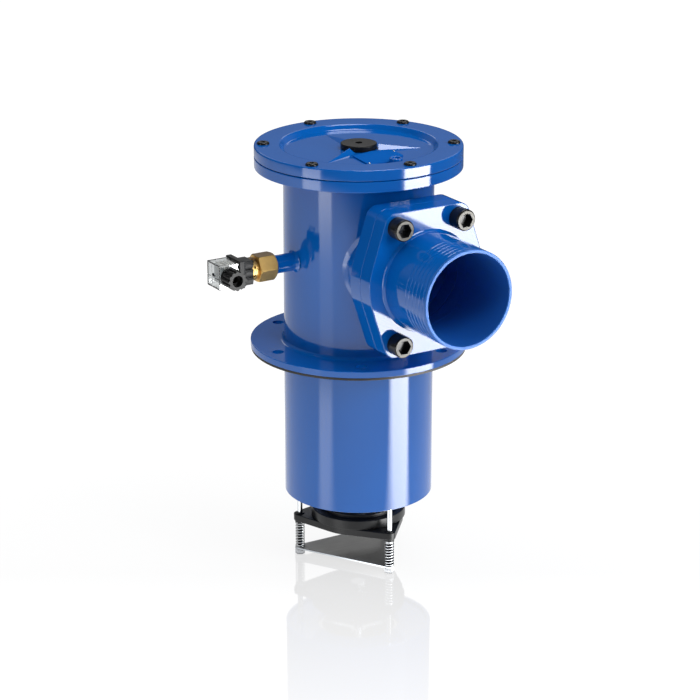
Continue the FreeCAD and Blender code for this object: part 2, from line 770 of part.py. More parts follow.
def connector():
    """Base, gasket, frame, clear housing, insert, pins and screw, built on +Z and laid on the switch's axis."""
    half = base_width / 2
    cut = base_corner
    outline = [(-half, -half), (half, -half), (half, half - cut), (half - cut, half), (cut - half, half),
               (-half, half - cut)]
    base = prism(outline, base_start, sheet_start)
    for place in (-base_groove_pitch / 2, base_groove_pitch / 2):
        groove = [(place - base_groove / 2, -half - 0.1), (place, -half + base_groove_depth),
                  (place + base_groove / 2, -half - 0.1)]
        base = base.cut(prism(groove, base_start - 1, sheet_start + 1))
    seal = block(sheet_width, sheet_width, sheet_start, frame_start)
    frame = block(frame_width, frame_width, frame_start, housing_start)
    insert = block(insert_width, insert_width, housing_start, housing_start + insert_length)

    wall = housing_wall
    pocket = link_screw_head_height
    housing = block(housing_width, housing_width, housing_start, housing_end)
    space = housing_width - 2 * wall
    housing = housing.cut(block(space, space, housing_start - 1, housing_end - wall))
    boss = disc(link_screw_head + wall, housing_end - wall - pocket, housing_end, sides=2 * small_sides)
    housing = housing.fuse(boss)
    screw_fit = link_screw_radius + link_screw_fit
    screw_space = hole(screw_fit, base_start, housing_end, sides=small_sides)
    head_space = hole(link_screw_head + link_screw_fit, housing_end - pocket + 1, housing_end)
    housing = housing.cut([screw_space, head_space])
    side = housing_width / 2
    cable_boss = disc(gland_boss_radius, side - wall, side + gland_boss_length, sides=2 * small_sides)
    cable_space = hole(gland_boss_bore, side - wall, side + gland_boss_length, sides=2 * small_sides)
    housing = to_switch(housing).fuse(to_gland(cable_boss)).cut(to_gland(cable_space))
    save("connector_housing", housing.removeSplitter())

    pin_low = sheet_start - pin_depth
    pin_high = housing_start + pin_reach
    pins = []
    spaces = []
    for k in range(4):
        pin = block(pin_thickness, pin_width, pin_low, pin_high, pin_place)
        space = block(pin_thickness + 2 * pin_fit, pin_width + 2 * pin_fit, pin_low, pin_high + pin_fit, pin_place)
        pins.append(to_switch(rotated(pin, Vector(0, 0, 1), 90 * k)))
        spaces.append(rotated(space, Vector(0, 0, 1), 90 * k))
    save("switch_pins", pins)
    tip = sheet_start - link_screw_depth
    through = [hole(screw_fit, tip + 1, housing_end)] + spaces
    save("switch_base", to_switch(base.cut(through)))
    save("connector_gasket", to_switch(seal.cut(through)))
    save("connector_frame", to_switch(frame.cut(through)))
    save("contact_insert", to_switch(insert.cut(through)))
    screw = disc(link_screw_radius, tip, housing_end - pocket, sides=small_sides)
    screw = screw.fuse(disc(link_screw_head, housing_end - pocket, housing_end, sides=small_sides))
    save("connector_screw", to_switch(screw.removeSplitter()))


def cable_gland():
    """The lobed nut on the housing's boss, and the rubber seal that it presses on the boss's end."""
    start = housing_width / 2 + gland_gap
    end = start + gland_length
    boss_end = housing_width / 2 + gland_boss_length
    outline = []
    for k in range(2 * gland_lobes):
        radius = gland_radius - (gland_lobe if k % 2 else 0)
        angle = math.pi * k / gland_lobes
        outline.append((radius * math.cos(angle), radius * math.sin(angle)))
    nut = prism(outline, start, end)
    sides = 2 * small_sides
    seal_end = boss_end + gland_seal_length
    nut = nut.cut(hole(gland_boss_radius + gland_fit, start, seal_end + gland_fit - 1, sides=sides))
    nut = nut.cut(disc(gland_hole, start, end + 1))
    save("gland_nut", to_gland(nut))
    save("gland_seal", to_gland(sided_ring(gland_seal_bore, gland_boss_radius, boss_end, seal_end, sides)))


welded_body()
gaskets()
outlet_neck()
outlet_joint()
foot_frame()
foot_valve()
cover()
cover_fittings()
element_caps()
element_mesh()
element_rod()
bypass_valve()
switch_stub()
switch_body()
connector()
cable_gland()
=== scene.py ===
"""A suction strainer for a tank top: blue enamelled body, bolted outlet, vacuum switch and foot valve."""
from math import acos, atan2, cos, dist, hypot, pi, radians, sin, sqrt, tan

import bmesh
import bpy
from mathutils import Matrix, Vector
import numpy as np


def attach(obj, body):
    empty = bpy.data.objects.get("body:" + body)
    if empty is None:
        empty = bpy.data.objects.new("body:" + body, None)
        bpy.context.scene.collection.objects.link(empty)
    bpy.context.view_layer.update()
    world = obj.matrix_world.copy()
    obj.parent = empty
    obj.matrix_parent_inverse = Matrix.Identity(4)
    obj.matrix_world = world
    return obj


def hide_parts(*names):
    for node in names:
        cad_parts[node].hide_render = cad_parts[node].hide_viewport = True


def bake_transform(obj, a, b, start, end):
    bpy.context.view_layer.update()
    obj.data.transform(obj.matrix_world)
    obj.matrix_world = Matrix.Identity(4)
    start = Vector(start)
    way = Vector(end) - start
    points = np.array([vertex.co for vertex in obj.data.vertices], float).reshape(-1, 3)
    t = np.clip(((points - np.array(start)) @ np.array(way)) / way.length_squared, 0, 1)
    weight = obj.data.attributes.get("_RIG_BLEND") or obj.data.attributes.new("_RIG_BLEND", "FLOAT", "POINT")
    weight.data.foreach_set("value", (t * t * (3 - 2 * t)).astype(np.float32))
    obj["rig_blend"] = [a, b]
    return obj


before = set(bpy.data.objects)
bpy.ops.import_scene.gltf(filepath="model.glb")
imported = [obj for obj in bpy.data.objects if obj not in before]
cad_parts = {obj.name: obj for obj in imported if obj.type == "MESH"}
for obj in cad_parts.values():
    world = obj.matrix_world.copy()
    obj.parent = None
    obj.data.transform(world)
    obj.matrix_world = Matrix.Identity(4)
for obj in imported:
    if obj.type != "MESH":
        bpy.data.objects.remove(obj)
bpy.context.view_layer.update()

# Sizes in millimetres, as in the solids: the body on the tank
TUBE = 84.15
TUBE_BORE = 80.15
TUBE_END = -170.8
TUBE_TOP = 210.2
WELD_ROOT = TUBE + 0.1
RING = 116.0
RING_TOP = 222.3
FLANGE = 122.0
FLANGE_TOP = 10.5
FLANGE_WELD = 3.5
GASKET = FLANGE - 0.5
GASKET_TOP = 3.0
TANK_HOLE = 6.5
TANK_HOLE_CIRCLE = 105.0
SEAT = 80.05
SEAT_BORE = 47.0
SEAT_BOTTOM = -168.0
SEAT_TOP = -158.0

# The cover
COVER_BOTTOM = 223.1
COVER_TOP = 235.2
COVER_SCREW_CIRCLE = 105.5
RECESS = 87.5
RECESS_FLOOR = 229.45
RECESS_FLOOR_RADIUS = 83.0
PLUG = 20.25
PLUG_STEM = 11.0
PLUG_BOTTOM = RECESS_FLOOR + 0.8
PLUG_TOP = PLUG_BOTTOM + 6.0

# The outlet, measured from the tube's axis
OUTLET_Z = 114.5
PIPE = 55.0
PIPE_BORE = 51.0
JOINT_BACK = 101.5
PAD_FRONT = 121.5
PLATE_FRONT = 141.5
PLATE_SIDE = 73.0
PLATE_CORNER = 14.0
PLATE_CORNER_ACROSS = 40.0
PLATE_CORNER_UP = 67.0
NOZZLE_END = 222.5
NOZZLE_LIP = 1.9
BOLT_ACROSS = 77.77
BOLT_UP = 130.18
BOLT_HEAD = 16.0

# The foot
ROD = 3.0
ROD_CIRCLE = 67.5
ROD_TOP = -160.0
YOKE_WEB = 51.5
YOKE_EAR = 7.0
YOKE_TOP = -204.3
YOKE_BOTTOM = -212.3
BOSS_BOTTOM = -214.9
DISC = 54.0
DISC_TOP = YOKE_TOP + 11.0
PILOT = 45.0
PILOT_TOP = YOKE_TOP + 14.8
LOWER_TOP = -246.0
LOWER_BOTTOM = -248.0
LOWER_TIP = 73.0
LOWER_TIP_HALF = 2.89
WASHER = 5.8
WASHER_BOTTOM = -249.2
FLOOR = -254.2

# The vacuum switch and its plug, measured from the tube's axis
SWITCH_Z = 112.5
STUB = 10.2
STUB_BORE = 7.0
STUB_END = 111.5
HEXAGON = 28.4
HEXAGON_END = 133.5
NECK = 10.5
CRIMP = 13.0
CRIMP_START = 136.4
CRIMP_END = 142.4
BASE_START = 142.5
BASE_END = 152.2
FRAME_START = 154.2
FRAME_END = 161.0
HOUSING_END = 185.0
GLAND_X = -173.0
GLAND_START = 14.05
GLAND_END = 33.05
CABLE_SEAL_START = 23.25
CABLE_SEAL_END = 26.25

# The filter element and its bypass valve
TOP_CAP = 66.0
TOP_CAP_BOTTOM = 150.0
TOP_CAP_TOP = 158.0
BYPASS_OPENING = 24.0
BYPASS = 28.0
BYPASS_BOTTOM = 159.0
BYPASS_TOP = 163.0
BYPASS_HUB = 8.5
BYPASS_HUB_TOP = 168.0
TIE_ROD = 5.0
TIE_ROD_BOTTOM = -186.5
TIE_ROD_TOP = 195.0
TOP_WASHER = 14.0
TOP_WASHER_BOTTOM = 182.0
TOP_NUT_BOTTOM = 184.0
TOP_NUT_TOP = 192.0

# How pieces drawn on +Z are laid on the outlet's, the switch's and the cable nut's axes
OUTLET = Matrix(((1, 0, 0, 0), (0, 0, -1, 0), (0, 1, 0, OUTLET_Z), (0, 0, 0, 1)))
SWITCH = Matrix(((0, 0, -1, 0), (0, 1, 0, 0), (1, 0, 0, SWITCH_Z), (0, 0, 0, 1)))
GLAND = Matrix(((1, 0, 0, GLAND_X), (0, 0, -1, 0), (0, 1, 0, SWITCH_Z), (0, 0, 0, 1)))


def around(radius, count, first=0.0):
    """Places on a circle about Z, each turned to face outwards."""
    turns = [radians(first + 360.0 * k / count) for k in range(count)]
    return [Matrix.Rotation(turn, 4, "Z") @ Matrix.Translation((radius, 0, 0)) for turn in turns]


AT_RODS = around(ROD_CIRCLE, 3, 30)
AT_TANK_HOLES = around(TANK_HOLE_CIRCLE, 6)
AT_COVER_SCREWS = around(COVER_SCREW_CIRCLE, 6, 30)
AT_BOLTS = [OUTLET @ Matrix.Translation((x * BOLT_ACROSS / 2, y * BOLT_UP / 2, 0))
            for x in (-1, 1) for y in (-1, 1)]


# Making pieces
def built(name, points, faces, places=None):
    """A mesh object from millimetre points, once at each place."""
    places = places or [Matrix()]
    all_points = []
    all_faces = []
    for place in places:
        first = len(all_points)
        all_points += [(place @ Vector(p)) * 0.001 for p in points]
        all_faces += [[first + k for k in face] for face in faces]
    mesh = bpy.data.meshes.new(name)
    mesh.from_pydata(all_points, [], all_faces)
    mesh.validate()
    work = bmesh.new()
    work.from_mesh(mesh)
    bmesh.ops.recalc_face_normals(work, faces=work.faces)
    work.to_mesh(mesh)
    work.free()
    piece = bpy.data.objects.new(name, mesh)
    bpy.context.scene.collection.objects.link(piece)
    return piece


def rounded(corners, steps=3):
    """A closed profile whose corners (radius, height, rounding) become small curves."""
    out = []
    for k, here in enumerate(corners):
        size = here[2] if len(here) > 2 else 0.0
        point = Vector(here[:2])
        before = Vector(corners[k - 1][:2]) - point
        after = Vector(corners[(k + 1) % len(corners)][:2]) - point
        if size <= 0:
            out.append(tuple(point))
            continue
        reach = min(size, before.length * 0.49, after.length * 0.49)
        a = point + before.normalized() * reach
        b = point + after.normalized() * reach
        for j in range(steps + 1):
            t = j / steps
            out.append(tuple(a * (1 - t) ** 2 + point * (2 * t * (1 - t)) + b * t ** 2))
    return out


def divided(profile, longest):
    """The same closed profile with long straight runs divided, so that a bored piece shades evenly."""
    out = []
    for k, here in enumerate(profile):
        there = profile[(k + 1) % len(profile)]
        out.append(here)
        parts = int(dist(here, there) / longest)
        for j in range(1, parts + 1):
            t = j / (parts + 1)
            out.append((here[0] + (there[0] - here[0]) * t, here[1] + (there[1] - here[1]) * t))
    return out


def turned(name, profile, sides=128, places=None):
    """A piece turned about Z from a closed profile of (radius, height) points."""
    points = []
    rings = []
    for radius, height in profile:
        if radius < 1e-6:
            rings.append([len(points)] * sides)
            points.append((0.0, 0.0, height))
        else:
            rings.append(list(range(len(points), len(points) + sides)))
            for k in range(sides):
                a = 2 * pi * k / sides
                points.append((radius * cos(a), radius * sin(a), height))
    faces = []
    for here, there in zip(rings, rings[1:] + rings[:1]):
        if here[0] == here[1] and there[0] == there[1]:
            continue
        for k in range(sides):
            n = (k + 1) % sides
            face = []
            for p in (here[k], here[n], there[n], there[k]):
                if p not in face:
                    face.append(p)
            faces.append(face)
    return built(name, points, faces, places)


def prism(name, outline, bottom, top, places=None):
    """A straight piece on Z from a closed outline."""
    n = len(outline)
    points = [(x, y, bottom) for x, y in outline] + [(x, y, top) for x, y in outline]
    faces = [list(range(n))[::-1], list(range(n, 2 * n))]
    faces += [[k, (k + 1) % n, n + (k + 1) % n, n + k] for k in range(n)]
    return built(name, points, faces, places)


def drill(radius, start, end, places, sides=40):
    """A round cutter on Z."""
    return turned("drill", [(0, start), (radius, start), (radius, end), (0, end)], sides, places)


def arc(x, y, radius, start, end, steps):
    angles = [start + (end - start) * k / steps for k in range(steps + 1)]
    return [(x + radius * cos(a), y + radius * sin(a)) for a in angles]


def hexagon(across, turn=0.0):
    """Six corners from the distance across the flats; the turn is in degrees."""
    start = radians(turn)
    return arc(0, 0, across / sqrt(3), start, start + 2 * pi, 6)[:-1]


def rectangle(width, depth, x=0.0, y=0.0):
    return [(x + i * width / 2, y + j * depth / 2) for i, j in ((-1, -1), (1, -1), (1, 1), (-1, 1))]


def three_cornered(corners):
    """Corners of one tip, drawn on +X and repeated at the three rods."""
    out = []
    for k in range(3):
        turn = Matrix.Rotation(radians(30 + 120 * k), 2)
        out += [tuple(turn @ Vector(c)) for c in corners]
    return out


def wound(name, mean, wire, bottom, top, turns, places=None):
    """A spring of round wire with closed ends, standing on Z."""
    steps = 28
    sides = 10
    radius = wire / 2 * 0.98
    low = bottom + wire / 2
    high = top - wire / 2
    closed = wire * 1.04
    path = []
    for k in range(turns * steps + 1):
        turn = k / steps
        if turn < 1:
            height = low + closed * turn
        elif turn > turns - 1:
            height = high - closed * (turns - turn)
        else:
            height = low + closed + (high - low - 2 * closed) * (turn - 1) / (turns - 2)
        a = 2 * pi * turn
        path.append(Vector((mean * cos(a), mean * sin(a), height)))
    points = []
    last = len(path) - 1
    for k, here in enumerate(path):
        along = (path[min(k + 1, last)] - path[max(k - 1, 0)]).normalized()
        side = along.cross(Vector((0, 0, 1))).normalized()
        up = side.cross(along).normalized()
        points += [here + side * (radius * cos(a)) + up * (radius * sin(a))
                   for a in (2 * pi * j / sides for j in range(sides))]
    faces = []
    for k in range(0, last * sides, sides):
        faces += [[k + j, k + (j + 1) % sides, k + sides + (j + 1) % sides, k + sides + j]
                  for j in range(sides)]
    faces.append(list(range(sides))[::-1])
    faces.append(list(range(last * sides, (last + 1) * sides)))
    return built(name, points, faces, places)


def bored(piece, *cutters):
    """The piece with each cutter taken out of it."""
    for cutter in cutters:
        cut = piece.modifiers.new("bore", "BOOLEAN")
        cut.operation = "DIFFERENCE"
        cut.solver = "EXACT"
        cut.object = cutter
    shown = piece.evaluated_get(bpy.context.evaluated_depsgraph_get())
    mesh = bpy.data.meshes.new_from_object(shown)
    piece.modifiers.clear()
    piece.data = mesh
    for cutter in cutters:
        bpy.data.objects.remove(cutter)
    return piece


def eased(piece, width, steps=2, angle=35):
    """Small rounded edges, width in millimetres, where faces meet at more than the angle."""
    edge = piece.modifiers.new("edges", "BEVEL")
    edge.width = width * 0.001
    edge.segments = steps
    edge.limit_method = "ANGLE"
    edge.angle_limit = radians(angle)
    edge.harden_normals = True
    edge.use_clamp_overlap = True
    return piece


def dressed(piece, finish, body, slot, *nodes):
    """Gives a piece its finish, the body that it moves with and the nodes that it stands for."""
    piece.data.materials.clear()
    piece.data.materials.append(finish)
    piece.data.set_sharp_from_angle(angle=radians(38))
    for face in piece.data.polygons:
        face.use_smooth = True
    if "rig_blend" not in piece:
        even = piece.modifiers.new("even_shading", "WEIGHTED_NORMAL")
        even.keep_sharp = True
        even.weight = 100
        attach(piece, body)
    if nodes:
        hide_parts(*nodes)
    return piece


def enamelled(piece, body, *nodes):
    """Gives a piece of the housing or the cover its blue enamel."""
    return dressed(piece, ENAMEL, body, "blue_paint", *nodes)


# Finishes
def colour(hex_value):
    """An sRGB hex value as the linear colour that a shader takes."""
    parts = [int(hex_value[k:k + 2], 16) / 255 for k in (1, 3, 5)]
    return [p / 12.92 if p <= 0.04045 else ((p + 0.055) / 1.055) ** 2.4 for p in parts] + [1.0]


def add(tree, kind, inputs=None, **settings):
    """Adds one node with its settings; an input is a value or another node's output."""
    made = tree.nodes.new(kind)
    for key, value in settings.items():
        setattr(made, key, value)
    for key, value in (inputs or {}).items():
        if isinstance(value, bpy.types.NodeSocket):
            tree.links.new(value, made.inputs[key])
        else:
            made.inputs[key].default_value = value
    return made


def started(name, **values):
    """A new material: its node tree, its shader and its places on the piece, in metres."""
    made = bpy.data.materials.new(name)
    made.use_nodes = True
    tree = made.node_tree
    shader = tree.nodes["Principled BSDF"]
    for key, value in values.items():
        shader.inputs[key.replace("_", " ")].default_value = value
    place = add(tree, "ShaderNodeTexCoord").outputs["Object"]
    return made, tree, shader, place


def per_mm(size):
    """A pattern's scale from its real size in millimetres."""
    return 1000.0 / size


def mottled(tree, shader, place, light, dark, size, rough_from, rough_to):
    """Two close shades and two close roughnesses, in patches of the given size; gives back the shade."""
    patches = add(tree, "ShaderNodeTexNoise", {"Vector": place, "Scale": per_mm(size), "Detail": 3.0})
    shade = add(tree, "ShaderNodeMix", {"Factor": patches.outputs["Fac"], "A": colour(light),
                                        "B": colour(dark)}, data_type="RGBA")
    tree.links.new(shade.outputs[2], shader.inputs["Base Color"])
    rough = add(tree, "ShaderNodeMapRange", {"Value": patches.outputs["Fac"], "To Min": rough_from,
                                             "To Max": rough_to})
    tree.links.new(rough.outputs["Result"], shader.inputs["Roughness"])
    return shade.outputs[2]


def raised(tree, shader, height, strength, depth, coat=False):
    """Turns a pattern's height into bump of the given depth in millimetres."""
    bump = add(tree, "ShaderNodeBump", {"Height": height, "Strength": strength, "Distance": depth * 0.001})
    tree.links.new(bump.outputs["Normal"], shader.inputs["Normal"])
    if coat:
        tree.links.new(bump.outputs["Normal"], shader.inputs["Coat Normal"])


def grained(tree, shader, place, size, strength, depth, detail=2.0, coat=False, **inputs):
    """A fine skin: noise of the given size as bump."""
    skin = add(tree, "ShaderNodeTexNoise", {"Vector": place, "Scale": per_mm(size), "Detail": detail,
                                            **inputs})
    raised(tree, shader, skin.outputs["Fac"], strength, depth, coat)


def blue_enamel(name, light, dark, gloss, gloss_roughness):
    """Sprayed enamel on steel: a deep blue under a clear gloss with a slight orange peel."""
    made, tree, shader, place = started(name, Coat_Weight=gloss, Coat_Roughness=gloss_roughness,
                                        Coat_IOR=1.5, Specular_IOR_Level=0.0)
    mottled(tree, shader, place, light, dark, 60, 0.32, 0.4)
    grained(tree, shader, place, 4.0, 0.05, 0.02, detail=1.0, coat=True)
    return made


def black_oxide():
    """Screws of blackened steel: oiled black oxide, nearly black with a grey sheen facing the light."""
    made, tree, shader, place = started("black_oxide_steel_oiled", Specular_IOR_Level=0.33)
    mottled(tree, shader, place, "#1c1d1f", "#101113", 3, 0.2, 0.3)
    grained(tree, shader, place, 0.6, 0.08, 0.02)
    return made


def painted_shade_black():
    """The inside of a driven socket, and the rods inside the foot springs: rough black oxide kept nearly
    black and dull as painted shade.
    """
    made, tree, shader, place = started("black_oxide_painted_shade", Specular_IOR_Level=0.12)
    mottled(tree, shader, place, "#0b0b0c", "#060607", 2, 0.6, 0.75)
    return made


def painted_highlight_oxide():
    """The end face of a large screw: black oxide painted a pale warm grey, a painted highlight for the sheen
    it mirrors.
    """
    made, tree, shader, place = started("black_oxide_painted_highlight_on_the_end", Specular_IOR_Level=0.2)
    mottled(tree, shader, place, "#8a877e", "#7c7971", 14, 0.25, 0.32)
    grained(tree, shader, place, 0.6, 0.06, 0.03)
    return made


def steel_with_painted_shade(name, light, dark, rough_from, rough_to, metal):
    """Bright steel with painted shade: its colour darkens towards near-black where pieces close in on each
    other.
    """
    made, tree, shader, place = started(name, Metallic=metal)
    bright = mottled(tree, shader, place, light, dark, 8, rough_from, rough_to)
    # painted shade: occlusion mixes the colour to near-black #17181a in gaps and crevices
    crevice_shade = add(tree, "ShaderNodeAmbientOcclusion", {"Distance": 0.003}, samples=8)
    depth = add(tree, "ShaderNodeMath", {0: crevice_shade.outputs["AO"], 1: 2.2}, operation="POWER")
    shade = add(tree, "ShaderNodeMix", {"Factor": depth.outputs[0], "A": colour("#17181a"), "B": bright},
                data_type="RGBA")
    tree.links.new(shade.outputs[2], shader.inputs["Base Color"])
    grained(tree, shader, place, 0.7, 0.05, 0.01)
    return made


def tool_marked(name, light, dark, rough_from, rough_to):
    """Turned, drawn or plated bright metal with fine tool marks, drawn coarser than they are."""
    made, tree, shader, place = started(name, Metallic=1.0)
    mottled(tree, shader, place, light, dark, 8, rough_from, rough_to)
    grained(tree, shader, place, 0.6, 0.1, 0.01, Roughness=0.6)
    return made


def rolled_sheet():
    """Phosphated steel sheet: satin grey with streaks along the rolling direction."""
    made, tree, shader, place = started("phosphated_steel_sheet_satin", Metallic=0.6)
    run = add(tree, "ShaderNodeMapping", {"Vector": place, "Scale": (0.12, 1.0, 1.0)}).outputs["Vector"]
    mottled(tree, shader, run, "#9c9c9c", "#8a8a8a", 2.5, 0.34, 0.46)
    grained(tree, shader, run, 0.8, 0.1, 0.01, detail=3.0)
    return made


def moulded(name, light, dark, rough_from, rough_to, strength=0.12, shine=0.5):
    """Plastic or rubber, moulded or machined, with a fine skin grain."""
    made, tree, shader, place = started(name, Specular_IOR_Level=shine)
    mottled(tree, shader, place, light, dark, 14, rough_from, rough_to)
    grained(tree, shader, place, 0.8, strength, 0.03)
    return made


def turned_brass():
    """Brass turned from bar: warm yellow with soft tool marks, and painted shade: dark brown on the faces
    that look up.
    """
    made, tree, shader, place = started("brass_turned_from_bar", Metallic=0.82)
    unshaded_brass = mottled(tree, shader, place, "#dcb76e", "#cda660", 5, 0.32, 0.4)
    # painted shade: faces that look up mix to dark brown #7a6038
    facing = add(tree, "ShaderNodeNewGeometry").outputs["Normal"]
    upwards = add(tree, "ShaderNodeSeparateXYZ", {"Vector": facing}).outputs["Z"]
    above = add(tree, "ShaderNodeMapRange", {"Value": upwards, "From Min": 0.6, "From Max": 0.8})
    shade = add(tree, "ShaderNodeMix", {"Factor": above.outputs["Result"], "A": unshaded_brass,
                                        "B": colour("#7a6038")}, data_type="RGBA")
    tree.links.new(shade.outputs[2], shader.inputs["Base Color"])
    run = add(tree, "ShaderNodeMapping", {"Vector": place, "Scale": (1.0, 0.08, 0.08)}).outputs["Vector"]
    grained(tree, shader, run, 0.5, 0.12, 0.01)
    return made


def clear_polycarbonate():
    """Injection-moulded clear polycarbonate: glassy, faintly grey, with slight flow ripples."""
    made, tree, shader, place = started("clear_polycarbonate_moulded", Transmission_Weight=1.0, IOR=1.585,
                                        Roughness=0.02)
    ripple = add(tree, "ShaderNodeTexNoise", {"Vector": place, "Scale": per_mm(6.0), "Detail": 1.0})
    tint = add(tree, "ShaderNodeMix", {"Factor": ripple.outputs["Fac"], "A": colour("#f4f6f6"),
                                       "B": colour("#e6e9ea")}, data_type="RGBA")
    tree.links.new(tint.outputs[2], shader.inputs["Base Color"])
    raised(tree, shader, ripple.outputs["Fac"], 0.05, 0.05)
    return made


def woven_wire():
    """Stainless wire cloth: over and under wires, drawn at 1.6 mm where the real pitch is about 0.2 mm."""
    made, tree, shader, place = started("stainless_wire_cloth_woven", Metallic=1.0, Roughness=0.35)
    pitch = per_mm(1.6) / 6.283
    warp, weft = [add(tree, "ShaderNodeTexWave", {"Vector": place, "Scale": pitch, "Distortion": 0.4},
                      bands_direction=way).outputs["Fac"] for way in ("Z", "DIAGONAL")]
    cross = add(tree, "ShaderNodeMath", {0: warp, 1: weft}, operation="MULTIPLY").outputs[0]
    shade = add(tree, "ShaderNodeMix", {"Factor": cross, "A": colour("#5d6062"), "B": colour("#c3c6c8")},
                data_type="RGBA")
    tree.links.new(shade.outputs[2], shader.inputs["Base Color"])
    raised(tree, shader, cross, 0.5, 0.2)
    return made


ENAMEL = blue_enamel("blue_gloss_enamel_sprayed", "#045cb0", "#0356a9", 1.0, 0.075)
# The bore's enamel has a rough gloss, and its base is a touch greyer than the outside as a painted sheen
ENAMEL_INSIDE = blue_enamel("blue_enamel_in_the_bore", "#1556a8", "#13509f", 1.0, 0.5)
ENAMEL_END = blue_enamel("blue_enamel_on_the_cut_end", "#1c5fac", "#1858a4", 1.0, 0.47)
ENAMEL_FLAT = blue_enamel("blue_enamel_matte_on_the_pad", "#035bb1", "#0255a9", 0.1, 0.6)
BLACK_OXIDE = black_oxide()
PAINTED_SHADE_BLACK = painted_shade_black()
PAINTED_HIGHLIGHT_OXIDE = painted_highlight_oxide()
# The spring wire and rods, and the dull zinc washers and nuts, carry painted shade in their gaps
WIRE = steel_with_painted_shade("drawn_spring_wire_painted_shade", "#d8dbde", "#c4c8cb", 0.14, 0.24, 1.0)
DULL_ZINC = steel_with_painted_shade("zinc_plated_dull", "#cdd0d3", "#bdc0c4", 0.45, 0.55, 0.15)
SPRING_STEEL = tool_marked("drawn_spring_wire", "#d4d6d8", "#bfc2c5", 0.16, 0.26)
ZINC = tool_marked("zinc_plated_steel", "#b4b8bd", "#a4a8ad", 0.2, 0.3)
SHEET = rolled_sheet()
BLACK_ACETAL = moulded("black_acetal_machined", "#1b1c1d", "#131415", 0.3, 0.42, strength=0.06, shine=0.28)
RUBBER = moulded("black_nitrile_rubber", "#151617", "#0e0f10", 0.55, 0.7)
NYLON = moulded("black_glass_filled_nylon", "#151617", "#0e0f10", 0.26, 0.36, strength=0.1, shine=0.17)
GREY_NYLON = moulded("grey_nylon_moulded", "#8b9091", "#7c8183", 0.35, 0.45)
WHITE_NYLON = moulded("white_nylon_moulded", "#e8e6df", "#dcdad3", 0.35, 0.45)
BRASS = turned_brass()
CLEAR = clear_polycarbonate()
CLOTH = woven_wire()


# Body: tube, rings, gasket and seat
tube_profile = rounded([(TUBE_BORE, TUBE_END, 0.5), (TUBE, TUBE_END, 0.9), (TUBE, TUBE_TOP),
                        (TUBE_BORE, TUBE_TOP)])
tube = turned("body_tube_enamelled", divided(tube_profile, 12), 192)
tube = bored(tube, drill(PIPE_BORE - 1.5, 1, JOINT_BACK, [OUTLET], 96),
             drill(STUB_BORE, 1, STUB_END, [SWITCH], 32))
enamelled(tube, "housing", "body_tube")

ring = turned("top_ring_enamelled", rounded([(TUBE_BORE, TUBE_TOP), (RING, TUBE_TOP, 0.9),
                                             (RING, RING_TOP, 0.9), (TUBE_BORE, RING_TOP, 0.5)]), 192)
enamelled(ring, "housing", "top_ring")

flange_profile = [(WELD_ROOT, GASKET_TOP), (FLANGE, GASKET_TOP, 0.6), (FLANGE, FLANGE_TOP, 0.9),
                  (WELD_ROOT + 4.2, FLANGE_TOP), (WELD_ROOT + 2.2, FLANGE_TOP + 0.5),
                  (WELD_ROOT + 1.0, FLANGE_TOP + 1.5), (WELD_ROOT, FLANGE_TOP + FLANGE_WELD)]
flange = turned("tank_flange_enamelled", rounded(flange_profile), 192)
flange = bored(flange, drill(TANK_HOLE, -2, FLANGE_TOP + FLANGE_WELD, AT_TANK_HOLES))
enamelled(eased(flange, 0.5, 2, 60), "housing", "tank_flange")

gasket = turned("tank_gasket_rubber", rounded([
    (WELD_ROOT, 0, 0.3), (GASKET, 0, 0.5), (GASKET, GASKET_TOP, 0.5), (WELD_ROOT, GASKET_TOP, 0.3)]), 192)
gasket = bored(gasket, drill(TANK_HOLE, -2, FLANGE_TOP + FLANGE_WELD, AT_TANK_HOLES))
dressed(gasket, RUBBER, "housing", "black_rubber", "tank_gasket")

seat = turned("seat_ring_steel", rounded([(SEAT_BORE, SEAT_BOTTOM, 0.6), (SEAT, SEAT_BOTTOM),
                                          (SEAT, SEAT_TOP), (SEAT_BORE, SEAT_TOP, 1.0)]), 128)
enamelled(seat, "housing", "seat_ring")


# Outlet neck and the welds on the tube
def saddle(name, inner, outer, rows=10, sides=160):
    """The neck from the tube's round side to the joint."""
    points = []
    for radius, flip in ((outer, False), (inner, True)):
        for row in range(rows):
            t = row / (rows - 1)
            t = 1 - t if flip else t
            for k in range(sides):
                a = 2 * pi * k / sides
                x = radius * cos(a)
                root = sqrt(WELD_ROOT ** 2 - x * x)
                points.append((x, radius * sin(a), root + (JOINT_BACK - root) * t))
    faces = []
    total = 2 * rows
    for row in range(total):
        for k in range(sides):
            n = (k + 1) % sides
            m = (row + 1) % total
            faces.append([row * sides + k, row * sides + n, m * sides + n, m * sides + k])
    return built(name, points, faces, [OUTLET])


def weld_around(name, radius, place, sides):
    """A smooth hollow weld bead where a round neck meets the tube's side."""
    leg = 3.2
    hollow = 0.42
    steps = [j / 7 for j in range(8)]
    points = []
    for k in range(sides):
        a = 2 * pi * k / sides
        for t in steps:
            out = radius + leg * ((1 - t) ** 2 + 2 * t * (1 - t) * hollow)
            up = leg * (t ** 2 + 2 * t * (1 - t) * hollow)
            x = out * cos(a)
            points.append((x, out * sin(a), sqrt((TUBE + 0.02) ** 2 - x * x) + up))
        x = (radius - 0.4) * cos(a)
        points.append((x, (radius - 0.4) * sin(a), sqrt(TUBE ** 2 - x * x) + 0.2))
    count = len(steps) + 1
    faces = []
    for here in range(0, sides * count, count):
        there = (here + count) % (sides * count)
        faces += [[here + j, there + j, there + (j + 1) % count, here + (j + 1) % count]
                  for j in range(count)]
    enamelled(built(name, points, faces, [place]), "housing")


enamelled(saddle("outlet_neck_enamelled", PIPE_BORE, PIPE), "housing", "outlet_neck")
weld_around("outlet_neck_weld", PIPE, OUTLET, 192)


